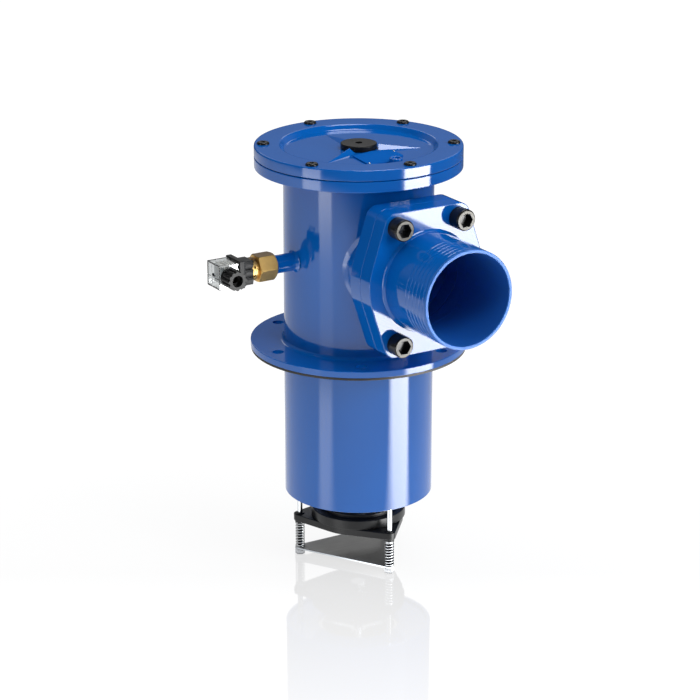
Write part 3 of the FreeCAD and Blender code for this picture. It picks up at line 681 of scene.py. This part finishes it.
# Bolted joint and hose nozzle
def plate_outline():
    """Two side arcs about the axis and four corner arcs, joined by tangents."""
    across, up, side, corner = PLATE_CORNER_ACROSS, PLATE_CORNER_UP, PLATE_SIDE, PLATE_CORNER
    lean = atan2(up, across) - acos((side - corner) / hypot(across, up))
    half = pi
    return (arc(0, 0, side, -lean, lean, 28)
            + arc(across, up, corner, lean, half / 2, 14)
            + arc(-across, up, corner, half / 2, half - lean, 14)
            + arc(0, 0, side, half - lean, half + lean, 28)
            + arc(-across, -up, corner, half + lean, 3 * half / 2, 14)
            + arc(across, -up, corner, 3 * half / 2, 2 * half - lean, 14))


def lined(piece):
    """The wall of the bore takes a duller finish, and so does the cut end of the pipe."""
    piece.data.materials.append(ENAMEL_INSIDE)
    piece.data.materials.append(ENAMEL_END)
    for face in piece.data.polygons:
        middle = face.center * 1000
        across = hypot(middle.x, middle.z - OUTLET_Z)
        # Bore faces take the rough, greyer-based enamel, the greyer base a painted sheen
        if across < PIPE_BORE + 0.05 and abs(face.normal.y) < 0.3:
            face.material_index = 1
        elif middle.y < NOZZLE_LIP - NOZZLE_END + 0.05:
            face.material_index = 2


def joint_plate(name, back, front, hole, node):
    plate = prism(name, plate_outline(), back, front, [OUTLET])
    plate = bored(plate, drill(PIPE_BORE, back - 1, front + 1, [OUTLET], 128),
                  drill(hole, back - 1, front + 1, AT_BOLTS))
    lined(enamelled(eased(plate, 0.9, 3), "housing", node))


joint_plate("port_pad_enamelled", JOINT_BACK, PAD_FRONT, 8.15, "port_pad")
joint_plate("port_flange_enamelled", PAD_FRONT, PLATE_FRONT, 8.75, "port_flange")

GROOVES = 6
GROOVE_PITCH = 6.6
GROOVE_DEPTH = 0.42
LAST_GROOVE = NOZZLE_END - 5.5
nozzle_profile = [(PIPE_BORE, PLATE_FRONT), (PIPE, PLATE_FRONT)]
for k in range(GROOVES):
    middle = LAST_GROOVE - GROOVE_PITCH * (GROOVES - 1 - k)
    nozzle_profile += [(PIPE - depth, middle + place) for place, depth in (
        (-0.95, 0), (-0.8, 0.08), (-0.2, GROOVE_DEPTH), (0.2, GROOVE_DEPTH), (0.8, 0.08), (0.95, 0))]
nozzle_profile += rounded([(PIPE, NOZZLE_END - 2.4), (PIPE, NOZZLE_END, NOZZLE_LIP),
                           (PIPE_BORE, NOZZLE_END, NOZZLE_LIP), (PIPE_BORE, NOZZLE_END - 2.4)], 6)
nozzle = turned("hose_nozzle_enamelled", nozzle_profile, 192, [OUTLET])
lined(enamelled(nozzle, "housing", "hose_nozzle"))

nozzle_bead = turned("hose_nozzle_weld", rounded([
    (PIPE - 0.2, PLATE_FRONT - 0.1), (PIPE + 2.6, PLATE_FRONT - 0.1), (PIPE + 1.7, PLATE_FRONT + 1.4, 1.0),
    (PIPE, PLATE_FRONT + 2.6), (PIPE - 0.2, PLATE_FRONT + 2.6)]), 160, [OUTLET])
enamelled(nozzle_bead, "housing")


def socket_screws(name, body, node, places, sides, tip, under, shank, head, height, edge, socket, deep,
                  turn):
    """Socket head screws on +Z; the socket's own faces take a second, near-black finish as painted shade."""
    top = under + height
    profile = rounded([
        (0, tip), (shank - 0.6, tip), (shank, tip + 0.8), (shank, under), (head, under, 0.25),
        (head, top - edge, 0.4), (head - edge, top, 0.3), (0, top)])
    screws = turned(name, profile, sides, places)
    screws = bored(screws, prism("cut_socket", hexagon(socket, turn), top - deep, top + 1, places))
    inner = socket / sqrt(3) + 0.15
    back_to_z = [place.inverted() for place in places]
    for face in screws.data.polygons:
        middles = [turned_back @ (face.center * 1000) for turned_back in back_to_z]
        middle = min(middles, key=lambda m: hypot(m.x, m.y))
        if hypot(middle.x, middle.y) < inner and top - deep - 0.02 < middle.z < top - 0.02:
            face.material_index = 1
    dressed(screws, BLACK_OXIDE, body, "black_screw", node)
    screws.data.materials.append(PAINTED_SHADE_BLACK)
    return screws


port_screws = socket_screws("port_screws_blackened", "housing", "port_screws", AT_BOLTS, 64,
                            tip=PAD_FRONT - 17, under=PLATE_FRONT, shank=8, head=12, height=BOLT_HEAD,
                            edge=1.3, socket=14.6, deep=8, turn=0)
# The port screws' front end faces take the pale grey painted highlight
port_screws.data.materials.append(PAINTED_HIGHLIGHT_OXIDE)
for face in port_screws.data.polygons:
    if face.normal.y < -0.99 and face.center.y * 1000 < 0.1 - PLATE_FRONT - BOLT_HEAD:
        face.material_index = 2

# Cover with its ribs, pad, boss, screws and plug
cover = turned("cover_enamelled", rounded([
    (PLUG_STEM + 0.1, COVER_BOTTOM), (RING, COVER_BOTTOM, 0.9), (RING, COVER_TOP, 1.8),
    (RECESS, COVER_TOP, 1.6), (RECESS_FLOOR_RADIUS, RECESS_FLOOR, 1.6),
    (PLUG_STEM + 0.1, RECESS_FLOOR)]), 192)
cover = bored(cover, drill(4.5, COVER_BOTTOM - 1, COVER_TOP + 1, AT_COVER_SCREWS, 32))
enamelled(cover, "cover", "cover")

SUNK = 0.05
RIB_START = 21.3
RIB_END = 73.0
RIB_FULL_LENGTH = 58.0
RIB_FULL_HALF = 9.0
RIB_FULL_HEIGHT = 5.9
rib_share = (RIB_END - RIB_START) / RIB_FULL_LENGTH
rib_half = RIB_FULL_HALF * rib_share
rib_points = [(RIB_START, -rib_half, RECESS_FLOOR - SUNK), (RIB_START, rib_half, RECESS_FLOOR - SUNK),
              (RIB_START, 0, RECESS_FLOOR + RIB_FULL_HEIGHT * rib_share), (RIB_END, 0, RECESS_FLOOR)]
ribs = built("cover_ribs_enamelled", rib_points, [[0, 1, 2], [0, 3, 1], [1, 3, 2], [2, 3, 0]],
             around(0, 3, -30))
enamelled(eased(ribs, 0.35, 2, 20), "cover")

PAD_TOP = RECESS_FLOOR + 1.6
PAD_OUTLINE = ((-25, -28), (-29, -68), (-4, -70), (24, -54), (26, -33), (4, -21))
PAD_RIVETS = ((-26.5, -65.5, 0), (24, -35, 0))
pad = prism("cover_pad_enamelled", PAD_OUTLINE, RECESS_FLOOR - SUNK, PAD_TOP)
dressed(eased(pad, 0.5, 3), ENAMEL_FLAT, "cover", "blue_paint")
pad_rivets = turned("cover_pad_rivets", rounded([
    (0, PAD_TOP), (1.5, PAD_TOP), (1.3, PAD_TOP + 0.5, 0.3), (0.6, PAD_TOP + 0.9, 0.3),
    (0, PAD_TOP + 1.0)]), 20, [Matrix.Translation(place) for place in PAD_RIVETS])
dressed(pad_rivets, ZINC, "cover", "bright_steel")

BOSS_TOP = RECESS_FLOOR + 6.2
BOSS_CUP = BOSS_TOP - 2.4
BOSS_PLACE = (1.7, -74.5, 0)
boss = turned("cover_boss_enamelled", rounded([
    (0, RECESS_FLOOR), (7.4, RECESS_FLOOR), (7.2, BOSS_TOP, 1.6), (4.8, BOSS_TOP, 0.8),
    (4.5, BOSS_CUP, 0.5), (0, BOSS_CUP)], 5), 48, [Matrix.Translation(BOSS_PLACE)])
enamelled(boss, "cover")

socket_screws("cover_screws_blackened", "cover", "cover_screws", AT_COVER_SCREWS, 40,
              tip=COVER_BOTTOM - 10, under=COVER_TOP, shank=4, head=7, height=2.6,
              edge=1.2, socket=5, deep=1.8, turn=30)

plug = turned("centre_plug_moulded", rounded([
    (0, COVER_BOTTOM), (PLUG_STEM, COVER_BOTTOM, 0.5), (PLUG_STEM, PLUG_BOTTOM), (PLUG, PLUG_BOTTOM, 0.4),
    (PLUG, PLUG_TOP, 1.3), (0, PLUG_TOP)]), 96)
plug = bored(plug, prism("cut_plug", hexagon(8), PLUG_TOP - 4, PLUG_TOP + 1))
dressed(plug, NYLON, "cover", "black_plastic", "centre_plug")

# Foot: rods, lower plate, springs, yoke and valve disc
rods = turned("guide_rods_ground", rounded([
    (0, FLOOR), (ROD, FLOOR, 0.5), (ROD, LOWER_TOP), (ROD, BOSS_BOTTOM), (ROD, ROD_TOP, 0.4),
    (0, ROD_TOP)]), 40, AT_RODS)
dressed(rods, WIRE, "housing", "bright_steel", "guide_rods")
# The rods between the lower plate and the yoke bosses, inside the springs, take the near-black painted shade
rods.data.materials.append(PAINTED_SHADE_BLACK)
for face in rods.data.polygons:
    face.material_index = 1 if LOWER_TOP < face.center.z * 1000 < BOSS_BOTTOM else 0

lower_tip = [(LOWER_TIP, -LOWER_TIP_HALF), (LOWER_TIP, LOWER_TIP_HALF)]
lower = prism("lower_plate_sheet", three_cornered(lower_tip), LOWER_BOTTOM, LOWER_TOP)
dressed(eased(lower, 0.3), SHEET, "housing", "dark_plate", "lower_plate")
# The sheet's edges take the brighter plated steel as a painted highlight along them; the top keeps the
# darker sheet
lower.data.materials.append(ZINC)
for face in lower.data.polygons:
    face.material_index = 1 if abs(face.normal.z) < 0.5 else 0

washers = turned("rod_washers_plated", rounded([
    (ROD + 0.1, WASHER_BOTTOM), (WASHER, WASHER_BOTTOM, 0.25), (WASHER, LOWER_BOTTOM, 0.25),
    (ROD + 0.1, LOWER_BOTTOM)]), 40, AT_RODS)
dressed(washers, DULL_ZINC, "housing", "bright_steel", "rod_washers")
nuts = prism("rod_nuts_plated", hexagon(10), FLOOR, WASHER_BOTTOM, AT_RODS)
nuts = bored(nuts, drill(ROD + 0.05, FLOOR - 1, LOWER_BOTTOM, AT_RODS, 32))
dressed(eased(nuts, 0.4), DULL_ZINC, "housing", "bright_steel", "rod_nuts")

foot_springs = wound("foot_springs_wire", 4.9, 1.2, LOWER_TOP, BOSS_BOTTOM, 10, AT_RODS)
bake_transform(foot_springs, "housing", "foot_valve", start=(0, 0, LOWER_TOP * 0.001 + 0.0012),
         end=(0, 0, BOSS_BOTTOM * 0.001 - 0.0012))
dressed(foot_springs, WIRE, "housing", "spring_steel", "foot_springs")

lean = acos((YOKE_WEB - YOKE_EAR) / ROD_CIRCLE)
yoke_outline = three_cornered(arc(ROD_CIRCLE, 0, YOKE_EAR, -lean, lean, 20)
                              + arc(0, 0, YOKE_WEB, lean, 2 * pi / 3 - lean, 8))
yoke = prism("yoke_plate_machined", yoke_outline, YOKE_BOTTOM, YOKE_TOP)
dressed(eased(yoke, 0.6, 3), BLACK_ACETAL, "foot_valve", "dark_plate", "yoke_plate")
yoke_bosses = turned("yoke_bosses_machined", rounded([
    (3.2, BOSS_BOTTOM), (5.75, BOSS_BOTTOM, 0.4), (5.75, YOKE_BOTTOM + 1), (3.2, YOKE_BOTTOM + 1)]),
    40, AT_RODS)
dressed(yoke_bosses, BLACK_ACETAL, "foot_valve", "dark_plate")

BUSH_BORE = 3.08
BUSH_SEAT = YOKE_TOP - 0.02
bushes = turned("guide_bushes_turned", rounded([
    (BUSH_BORE, YOKE_TOP - 2), (4.5, YOKE_TOP - 2), (4.5, BUSH_SEAT), (5.2, BUSH_SEAT, 0.2),
    (5.2, YOKE_TOP + 1, 0.3), (BUSH_BORE, YOKE_TOP + 1, 0.2)]), 40, AT_RODS)
dressed(bushes, BLACK_ACETAL, "foot_valve", "bush", "guide_bushes")

disc = turned("valve_disc_turned", rounded([
    (0, YOKE_TOP), (DISC, YOKE_TOP, 0.6), (DISC, DISC_TOP, 1.0), (PILOT, DISC_TOP, 0.6),
    (PILOT, PILOT_TOP, 1.0), (0, PILOT_TOP)]), 160)
dressed(disc, BLACK_ACETAL, "foot_valve", "dark_plate", "valve_disc")
valve_screw = prism("valve_screw_plated", hexagon(17), YOKE_BOTTOM - 6, YOKE_BOTTOM)
dressed(eased(valve_screw, 0.5), ZINC, "foot_valve", "bright_steel", "valve_screw")

# Vacuum switch: stub, brass body and crimped ring
stub = turned("switch_stub_enamelled", rounded([
    (STUB_BORE, TUBE + 0.25), (STUB, TUBE + 0.25), (STUB, STUB_END, 0.5), (STUB_BORE, STUB_END, 0.4)]), 64,
    [SWITCH])
enamelled(stub, "housing", "switch_stub")
weld_around("switch_stub_weld", STUB, SWITCH, 96)

corner = HEXAGON / sqrt(3)
hexagon_part = prism("switch_hexagon_brass", hexagon(HEXAGON, 30), STUB_END, HEXAGON_END, [SWITCH])
around_hexagon = turned("cut_corners", [
    (corner + 4, STUB_END - 1), (corner + 4, HEXAGON_END + 1), (corner - 2.4, HEXAGON_END + 1),
    (corner + 0.2, HEXAGON_END - 1.6), (corner + 0.2, STUB_END + 2.6), (corner - 3.4, STUB_END - 1)], 96,
    [SWITCH])
hexagon_part = bored(hexagon_part, around_hexagon)
dressed(eased(hexagon_part, 0.35), BRASS, "housing", "brass", "switch_body")
neck = turned("switch_neck_brass", rounded([
    (0, HEXAGON_END - 0.1), (NECK, HEXAGON_END - 0.1), (NECK, BASE_START), (0, BASE_START)]), 64, [SWITCH])
dressed(neck, BRASS, "housing", "brass")

crimp = turned("crimp_ring_brass", rounded([
    (NECK + 0.1, CRIMP_START, 0.2), (CRIMP, CRIMP_START, 0.4), (CRIMP, CRIMP_END, 0.4),
    (NECK + 0.1, CRIMP_END, 0.2)]), 96, [SWITCH])
slots = prism("cut_slots", rectangle(16, 2.4, 8), CRIMP_END - 4, CRIMP_END + 1,
              [SWITCH @ place for place in around(0, 8, 22.5)])
dressed(eased(bored(crimp, slots), 0.25), BRASS, "housing", "brass", "crimp_ring")

# Plug connector: ribbed base, gasket, frame, clear housing and what shows through it
half = 13.5
cut = 8.0
base_outline = []
for middle in (-9.0, 0.0, 9.0):
    for step in (-1, -0.75, -0.4, 0, 0.4, 0.75, 1):
        base_outline.append((middle + 3.6 * step, -half + 0.7 * step * step))
    if middle < 9:
        base_outline += [(middle + 4.0, -half + 1.6), (middle + 5.0, -half + 1.6)]
base_outline[0] = (-half, -half + 0.7)
base_outline[-1] = (half, -half + 0.7)
base_outline += [(half, half - cut), (half - cut, half), (cut - half, half), (-half, half - cut)]
base = prism("switch_base_moulded", base_outline, BASE_START, BASE_END, [SWITCH])
dressed(eased(base, 0.4, 3, 50), NYLON, "housing", "black_plastic", "switch_base")
sheet_seal = prism("connector_gasket_rubber", rectangle(28, 28), BASE_END, FRAME_START, [SWITCH])
dressed(eased(sheet_seal, 0.3), RUBBER, "housing", "black_rubber", "connector_gasket")
link_frame = prism("connector_frame_moulded", rectangle(31, 31), FRAME_START, FRAME_END, [SWITCH])
dressed(eased(link_frame, 0.7, 3), NYLON, "housing", "black_plastic", "connector_frame")

HOUSING_WIDTH = 27.5
HOUSING_WALL = 1.6
SEAM = 0.9
space = HOUSING_WIDTH - 2 * HOUSING_WALL
housing_box = prism("connector_housing_clear", rectangle(HOUSING_WIDTH, HOUSING_WIDTH),
                    FRAME_END, HOUSING_END, [SWITCH])
hollow = prism("cut_hollow", rectangle(space, space), FRAME_END - 1, HOUSING_END - HOUSING_WALL, [SWITCH])
seams = [prism("cut_seam", outline, HOUSING_END - 0.5, HOUSING_END + 1, [SWITCH])
         for outline in (rectangle(SEAM, 40, -1.5, 0), rectangle(40, SEAM, 0, 3.0))]
housing_box = eased(bored(housing_box, hollow, *seams), 0.6, 3)
dressed(housing_box, CLEAR, "housing", "clear_plastic", "connector_housing")

BAR_PITCH = 4.4
contact_bars = [SWITCH @ Matrix.Translation((0, 0, FRAME_END + BAR_PITCH * k)) for k in range(4)]
insert = prism("contact_insert_moulded", rectangle(21, 21), 0, 2.6, contact_bars)
dressed(eased(insert, 0.5), WHITE_NYLON, "housing", "white_plastic", "contact_insert")
spine = prism("contact_spine_moulded", rectangle(18.5, 18.5), FRAME_END, FRAME_END + 17, [SWITCH])
dressed(eased(spine, 0.5), GREY_NYLON, "housing", "white_plastic")

# Cable nut on the housing's boss
cable_boss = turned("cable_boss_moulded", rounded([
    (6, 12.2), (8, 12.2), (8, CABLE_SEAL_START - 0.05, 0.4), (6, CABLE_SEAL_START - 0.05, 0.3)]),
    48, [GLAND])
dressed(cable_boss, NYLON, "housing", "black_plastic")

LOBES = 12
LOBE_REACH = 10.9
LOBE_DEPTH = 1.5
lobes = []
for k in range(12 * LOBES):
    a = 2 * pi * k / (12 * LOBES)
    reach = LOBE_REACH - LOBE_DEPTH * (0.5 - 0.5 * cos(LOBES * a)) ** 2
    lobes.append((reach * cos(a), reach * sin(a)))
gland = prism("gland_nut_moulded", lobes, GLAND_START, GLAND_END, [GLAND])
gland = bored(gland, drill(8.15, 13, CABLE_SEAL_END + 0.05, [GLAND], 48), drill(6.5, 20, 34, [GLAND], 48))
dressed(eased(gland, 0.5, 3, 50), NYLON, "housing", "black_plastic", "gland_nut")

collar = turned("gland_collar_moulded", rounded([
    (8.2, 13.8), (LOBE_REACH, 13.8, 0.4), (LOBE_REACH, 17.2, 0.9), (8.2, 17.2)]), 64, [GLAND])
dressed(collar, NYLON, "housing", "black_plastic")

# Filter element and bypass valve
hold_spring = wound("hold_down_spring_wire", 45, 5, TOP_CAP_TOP, COVER_BOTTOM, 5)
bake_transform(hold_spring, "element", "housing", start=(0, 0, 0.163), end=(0, 0, 0.218))
dressed(hold_spring, SPRING_STEEL, "element", "spring_steel", "hold_down_spring")
bypass_spring = wound("bypass_spring_wire", 11.5, 1.6, BYPASS_TOP, TOP_WASHER_BOTTOM, 6)
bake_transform(bypass_spring, "bypass_valve", "element", start=(0, 0, 0.1646), end=(0, 0, 0.1804))
dressed(bypass_spring, SPRING_STEEL, "element", "spring_steel", "bypass_spring")
top_cap = turned("top_cap_pressed", rounded([
    (BYPASS_OPENING, TOP_CAP_BOTTOM), (TOP_CAP, TOP_CAP_BOTTOM, 0.8), (TOP_CAP, TOP_CAP_TOP, 1.4),
    (BYPASS_OPENING, TOP_CAP_TOP, 0.8)]), 128)
dressed(top_cap, ZINC, "element", "bare_steel", "top_cap")
tie_rod = turned("tie_rod_plated", rounded([
    (0, TIE_ROD_BOTTOM), (TIE_ROD, TIE_ROD_BOTTOM), (TIE_ROD, TIE_ROD_TOP, 0.8), (0, TIE_ROD_TOP)]), 32)
dressed(tie_rod, ZINC, "element", "bare_steel", "tie_rod")
top_washer = turned("top_washer_plated", rounded([
    (TIE_ROD + 0.1, TOP_WASHER_BOTTOM), (TOP_WASHER, TOP_WASHER_BOTTOM, 0.3),
    (TOP_WASHER, TOP_NUT_BOTTOM, 0.3), (TIE_ROD + 0.1, TOP_NUT_BOTTOM)]), 64)
dressed(top_washer, ZINC, "element", "bright_steel", "top_washer")
top_nut = prism("top_nut_plated", hexagon(17), TOP_NUT_BOTTOM, TOP_NUT_TOP)
dressed(eased(top_nut, 0.6), ZINC, "element", "bright_steel", "top_nut")
bypass = turned("bypass_disc_turned", rounded([
    (TIE_ROD + 0.1, BYPASS_BOTTOM), (BYPASS, BYPASS_BOTTOM, 0.5), (BYPASS, BYPASS_TOP, 0.8),
    (BYPASS_HUB, BYPASS_TOP, 0.6), (BYPASS_HUB, BYPASS_HUB_TOP, 0.6), (TIE_ROD + 0.1, BYPASS_HUB_TOP)]), 96)
dressed(bypass, BLACK_ACETAL, "bypass_valve", "dark_plate", "bypass_disc")

# Nodes of the frame that are shown as they are
CARRIED = {
    "bottom_cap": ZINC, "support_tube": SHEET, "filter_mesh": CLOTH, "rod_foot": ZINC,
    "element_seal": RUBBER, "bypass_seal": RUBBER, "cover_seal": RUBBER, "port_seal": RUBBER,
    "plug_seal": RUBBER, "gland_seal": RUBBER, "switch_pins": ZINC, "connector_screw": ZINC,
}
for node_name, finish in CARRIED.items():
    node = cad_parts[node_name]
    node.data.materials.clear()
    node.data.materials.append(finish)

# Camera
HEADING = radians(-31.381)
HEIGHT = radians(18.924)
DISTANCE = 3.08442
back = Vector((sin(HEADING) * cos(HEIGHT), -cos(HEADING) * cos(HEIGHT),
               sin(HEIGHT)))
across = Vector((cos(HEADING), sin(HEADING), 0))
target = across * -0.00961 + Vector((0, 0, -0.006017))
camera = bpy.data.objects.new("camera", bpy.data.cameras.new("camera"))
camera.data.lens = 140.0
camera.data.sensor_width = 36.0
camera.location = target + back * DISTANCE
camera.rotation_mode = "QUATERNION"
camera.rotation_quaternion = (-back).to_track_quat("-Z", "Y")
camera.data.clip_start = 0.1
camera.data.clip_end = 60
bpy.context.scene.collection.objects.link(camera)
bpy.context.scene.camera = camera

# Floor: pale and glossy, with the bright bands that the enamel mirrors
towards_camera = (sin(HEADING), -cos(HEADING), 0.0)


def band(tree, place, start, end, soft_start, soft_end, level):
    """A bright band on the floor between two headings, as the tube's side mirrors it."""
    share = level
    for heading, side, soft in ((start, 1, soft_start), (end, -1, soft_end)):
        a = radians(heading)
        root = (a + HEADING) / 2
        into = (side * cos(a), side * sin(a), 0.0)
        line = TUBE * 0.001 * (sin(root) * into[0] - cos(root) * into[1])
        offset = add(tree, "ShaderNodeVectorMath", {0: place, 1: into},
                     operation="DOT_PRODUCT").outputs["Value"]
        mask = add(tree, "ShaderNodeMapRange", {"Value": offset, "From Min": line - soft,
                                                "From Max": line + soft},
                   interpolation_type="SMOOTHSTEP").outputs["Result"]
        share = add(tree, "ShaderNodeMath", {0: mask, 1: share}, operation="MULTIPLY").outputs[0]
    return share


def total(tree, *levels):
    """Several levels of light added up."""
    out = levels[0]
    for level in levels[1:]:
        out = add(tree, "ShaderNodeMath", {0: out, 1: level}, operation="ADD").outputs[0]
    return out


floor_mesh = bpy.data.meshes.new("floor")
floor_mesh.from_pydata([(x, y, FLOOR * 0.001 - 0.0003) for x, y in rectangle(40, 40)], [], [(0, 1, 2, 3)])
floor = bpy.data.objects.new("floor", floor_mesh)
bpy.context.scene.collection.objects.link(floor)
paper, tree, shader, place = started("white_gloss_floor", Roughness=0.04, IOR=1.45,
                                     Base_Color=(0.12, 0.12, 0.12, 1), Emission_Color=(1, 1, 1, 1))
floor_mesh.materials.append(paper)
ray = add(tree, "ShaderNodeLightPath")
ahead = add(tree, "ShaderNodeVectorMath", {0: place, 1: towards_camera},
            operation="DOT_PRODUCT").outputs["Value"]

# What the camera sees: nearly white far behind, and less from the object on, where the floor mirrors it
seen = add(tree, "ShaderNodeMapRange", {"Value": ahead, "From Min": -0.3, "From Max": -0.52,
                                        "To Min": 0.675, "To Max": 0.95},
           interpolation_type="SMOOTHSTEP").outputs["Result"]
fading = add(tree, "ShaderNodeMapRange", {"Value": ahead, "From Min": 0.06, "From Max": 0.5, "To Min": 0.0,
                                          "To Max": 0.2}).outputs["Result"]
seen = add(tree, "ShaderNodeMath", {0: total(tree, seen, fading), 1: ray.outputs["Is Camera Ray"]},
           operation="MULTIPLY").outputs[0]

# What lights the object: a pool of light that grows towards the camera
pool = add(tree, "ShaderNodeVectorMath", {0: place, 1: (-0.35, 0.35, FLOOR * 0.001)}, operation="DISTANCE")
pool = add(tree, "ShaderNodeMapRange", {"Value": pool.outputs["Value"], "From Min": 1.9, "From Max": 1.45},
           interpolation_type="SMOOTHSTEP").outputs["Result"]
slope = add(tree, "ShaderNodeMapRange", {"Value": ahead, "From Min": -0.7, "From Max": 0.8, "To Min": 0.65,
                                         "To Max": 1.45}).outputs["Result"]
pool = add(tree, "ShaderNodeMath", {0: pool, 1: slope}, operation="MULTIPLY").outputs[0]

# What glossy pieces mirror: the pool, and a bright band on either side
reach = add(tree, "ShaderNodeVectorMath", {0: place, 1: (0, 0, FLOOR * 0.001)},
            operation="DISTANCE").outputs["Value"]
near_left, far_left, right_level = [
    add(tree, "ShaderNodeMapRange", {"Value": reach, "From Min": near, "From Max": far,
                                     "To Min": level_near, "To Max": level_far},
        interpolation_type=kind).outputs["Result"]
    for near, far, level_near, level_far, kind in (
        (0.6, 0.85, 2.3, 0.0, "SMOOTHSTEP"), (1.2, 1.8, 0.0, 3.8, "SMOOTHSTEP"),
        (0.3, 1.9, 12.5, 20.0, "LINEAR"))]
left_level = total(tree, near_left, far_left)
mirrored = total(tree, pool, band(tree, place, 19.2, 52, 0.05, 0.03, right_level),
                 band(tree, place, -94.7, -73.2, 0.03, 0.04, left_level))
mirrored = add(tree, "ShaderNodeMath", {0: mirrored, 1: ray.outputs["Is Glossy Ray"]},
               operation="MULTIPLY").outputs[0]
other = add(tree, "ShaderNodeMath", {0: ray.outputs["Is Camera Ray"], 1: ray.outputs["Is Glossy Ray"]},
            operation="MAXIMUM").outputs[0]
other = add(tree, "ShaderNodeMath", {0: 1.0, 1: other}, operation="SUBTRACT").outputs[0]
other = add(tree, "ShaderNodeMath", {0: other, 1: pool}, operation="MULTIPLY").outputs[0]
tree.links.new(total(tree, seen, mirrored, other), shader.inputs["Emission Strength"])


# Lamps
def heading_of(azimuth, height):
    """The direction at an azimuth and a height in degrees; azimuth 0 is -Y."""
    a = radians(azimuth)
    e = radians(height)
    return Vector((sin(a) * cos(e), -cos(a) * cos(e), sin(e)))


def lamp(name, azimuth, height, distance, size, level):
    """A large soft lamp; at level 1 a white face turned to it renders white."""
    light = bpy.data.lights.new(name, "AREA")
    light.shape = "SQUARE"
    light.size = size
    light.energy = level * pi ** 2 * distance ** 2
    made = bpy.data.objects.new(name, light)
    way = heading_of(azimuth, height)
    made.location = way * distance
    made.rotation_mode = "QUATERNION"
    made.rotation_quaternion = way.to_track_quat("Z", "Y")
    made.visible_camera = False
    made.visible_glossy = False
    bpy.context.scene.collection.objects.link(made)


lamp("key_above", 5, 54, 2.4, 0.8, 0.28)
lamp("key_right", 33, 20, 2.4, 1.0, 0.35)

# World: soft panels for what reflects, an even light for the rest, and white for the camera
world = bpy.data.worlds.new("studio")
bpy.context.scene.world = world
world.use_nodes = True
tree = world.node_tree
tree.nodes.clear()
way = add(tree, "ShaderNodeTexCoord").outputs["Generated"]


def softbox(azimuth, height, width, tall, blur, level):
    """A soft-edged bright panel far off, sizes in degrees, for what reflects."""
    a = radians(azimuth)
    e = radians(height)
    right = (cos(a), sin(a), 0.0)
    up = (-sin(a) * sin(e), cos(a) * sin(e), cos(e))
    depth = add(tree, "ShaderNodeVectorMath", {0: way, 1: heading_of(azimuth, height)},
                operation="DOT_PRODUCT").outputs["Value"]
    ahead = add(tree, "ShaderNodeMath", {0: depth, 1: 0.001}, operation="MAXIMUM").outputs[0]
    share = add(tree, "ShaderNodeMath", {0: depth, 1: 0.0}, operation="GREATER_THAN").outputs[0]
    for axis, size in ((right, width), (up, tall)):
        offset = add(tree, "ShaderNodeVectorMath", {0: way, 1: axis},
                     operation="DOT_PRODUCT").outputs["Value"]
        slope = add(tree, "ShaderNodeMath", {0: offset, 1: ahead}, operation="DIVIDE").outputs[0]
        slope = add(tree, "ShaderNodeMath", {0: slope}, operation="ABSOLUTE").outputs[0]
        edge = tan(radians(size / 2))
        mask = add(tree, "ShaderNodeMapRange", {"Value": slope, "From Min": edge + blur,
                                                "From Max": edge - blur},
                   interpolation_type="SMOOTHSTEP").outputs["Result"]
        share = add(tree, "ShaderNodeMath", {0: share, 1: mask}, operation="MULTIPLY").outputs[0]
    return add(tree, "ShaderNodeMath", {0: share, 1: level}, operation="MULTIPLY").outputs[0]


height_of = add(tree, "ShaderNodeSeparateXYZ", {"Vector": way}).outputs["Z"]
sky = add(tree, "ShaderNodeMapRange", {"Value": height_of, "From Min": 0.07, "From Max": 0.25,
                                       "To Min": 0.02, "To Max": 0.22}).outputs["Result"]
high = add(tree, "ShaderNodeMapRange", {"Value": height_of, "From Min": 0.42, "From Max": 0.6,
                                        "To Min": 1.0, "To Max": 0.08}).outputs["Result"]
sky = add(tree, "ShaderNodeMath", {0: sky, 1: high}, operation="MULTIPLY").outputs[0]
panels = total(tree, sky, softbox(90, 80, 26, 26, 0.04, 11.0), softbox(33, 6, 32, 30, 0.05, 11.0),
               softbox(-82, 6, 21, 30, 0.05, 2.4), softbox(148.6, 24.4, 24, 8, 0.012, 1.5),
               softbox(36, 33, 26, 18, 0.08, 1.6))
evened = add(tree, "ShaderNodeMapRange", {"Value": height_of, "To Min": 0.12,
                                          "To Max": 1.05}).outputs["Result"]
rays = add(tree, "ShaderNodeLightPath")
seen = add(tree, "ShaderNodeMath", {0: rays.outputs["Is Camera Ray"],
                                    1: rays.outputs["Is Transmission Ray"]}, operation="MAXIMUM").outputs[0]
level = add(tree, "ShaderNodeMix", {"Factor": rays.outputs["Is Glossy Ray"], "A": evened, "B": panels},
            data_type="FLOAT").outputs[0]
level = add(tree, "ShaderNodeMix", {"Factor": seen, "A": level, "B": 1.0}, data_type="FLOAT").outputs[0]
shine = add(tree, "ShaderNodeBackground", {"Color": (1, 1, 1, 1), "Strength": level})
add(tree, "ShaderNodeOutputWorld", {"Surface": shine.outputs["Background"]})

bpy.context.scene.view_settings.view_transform = "Standard"
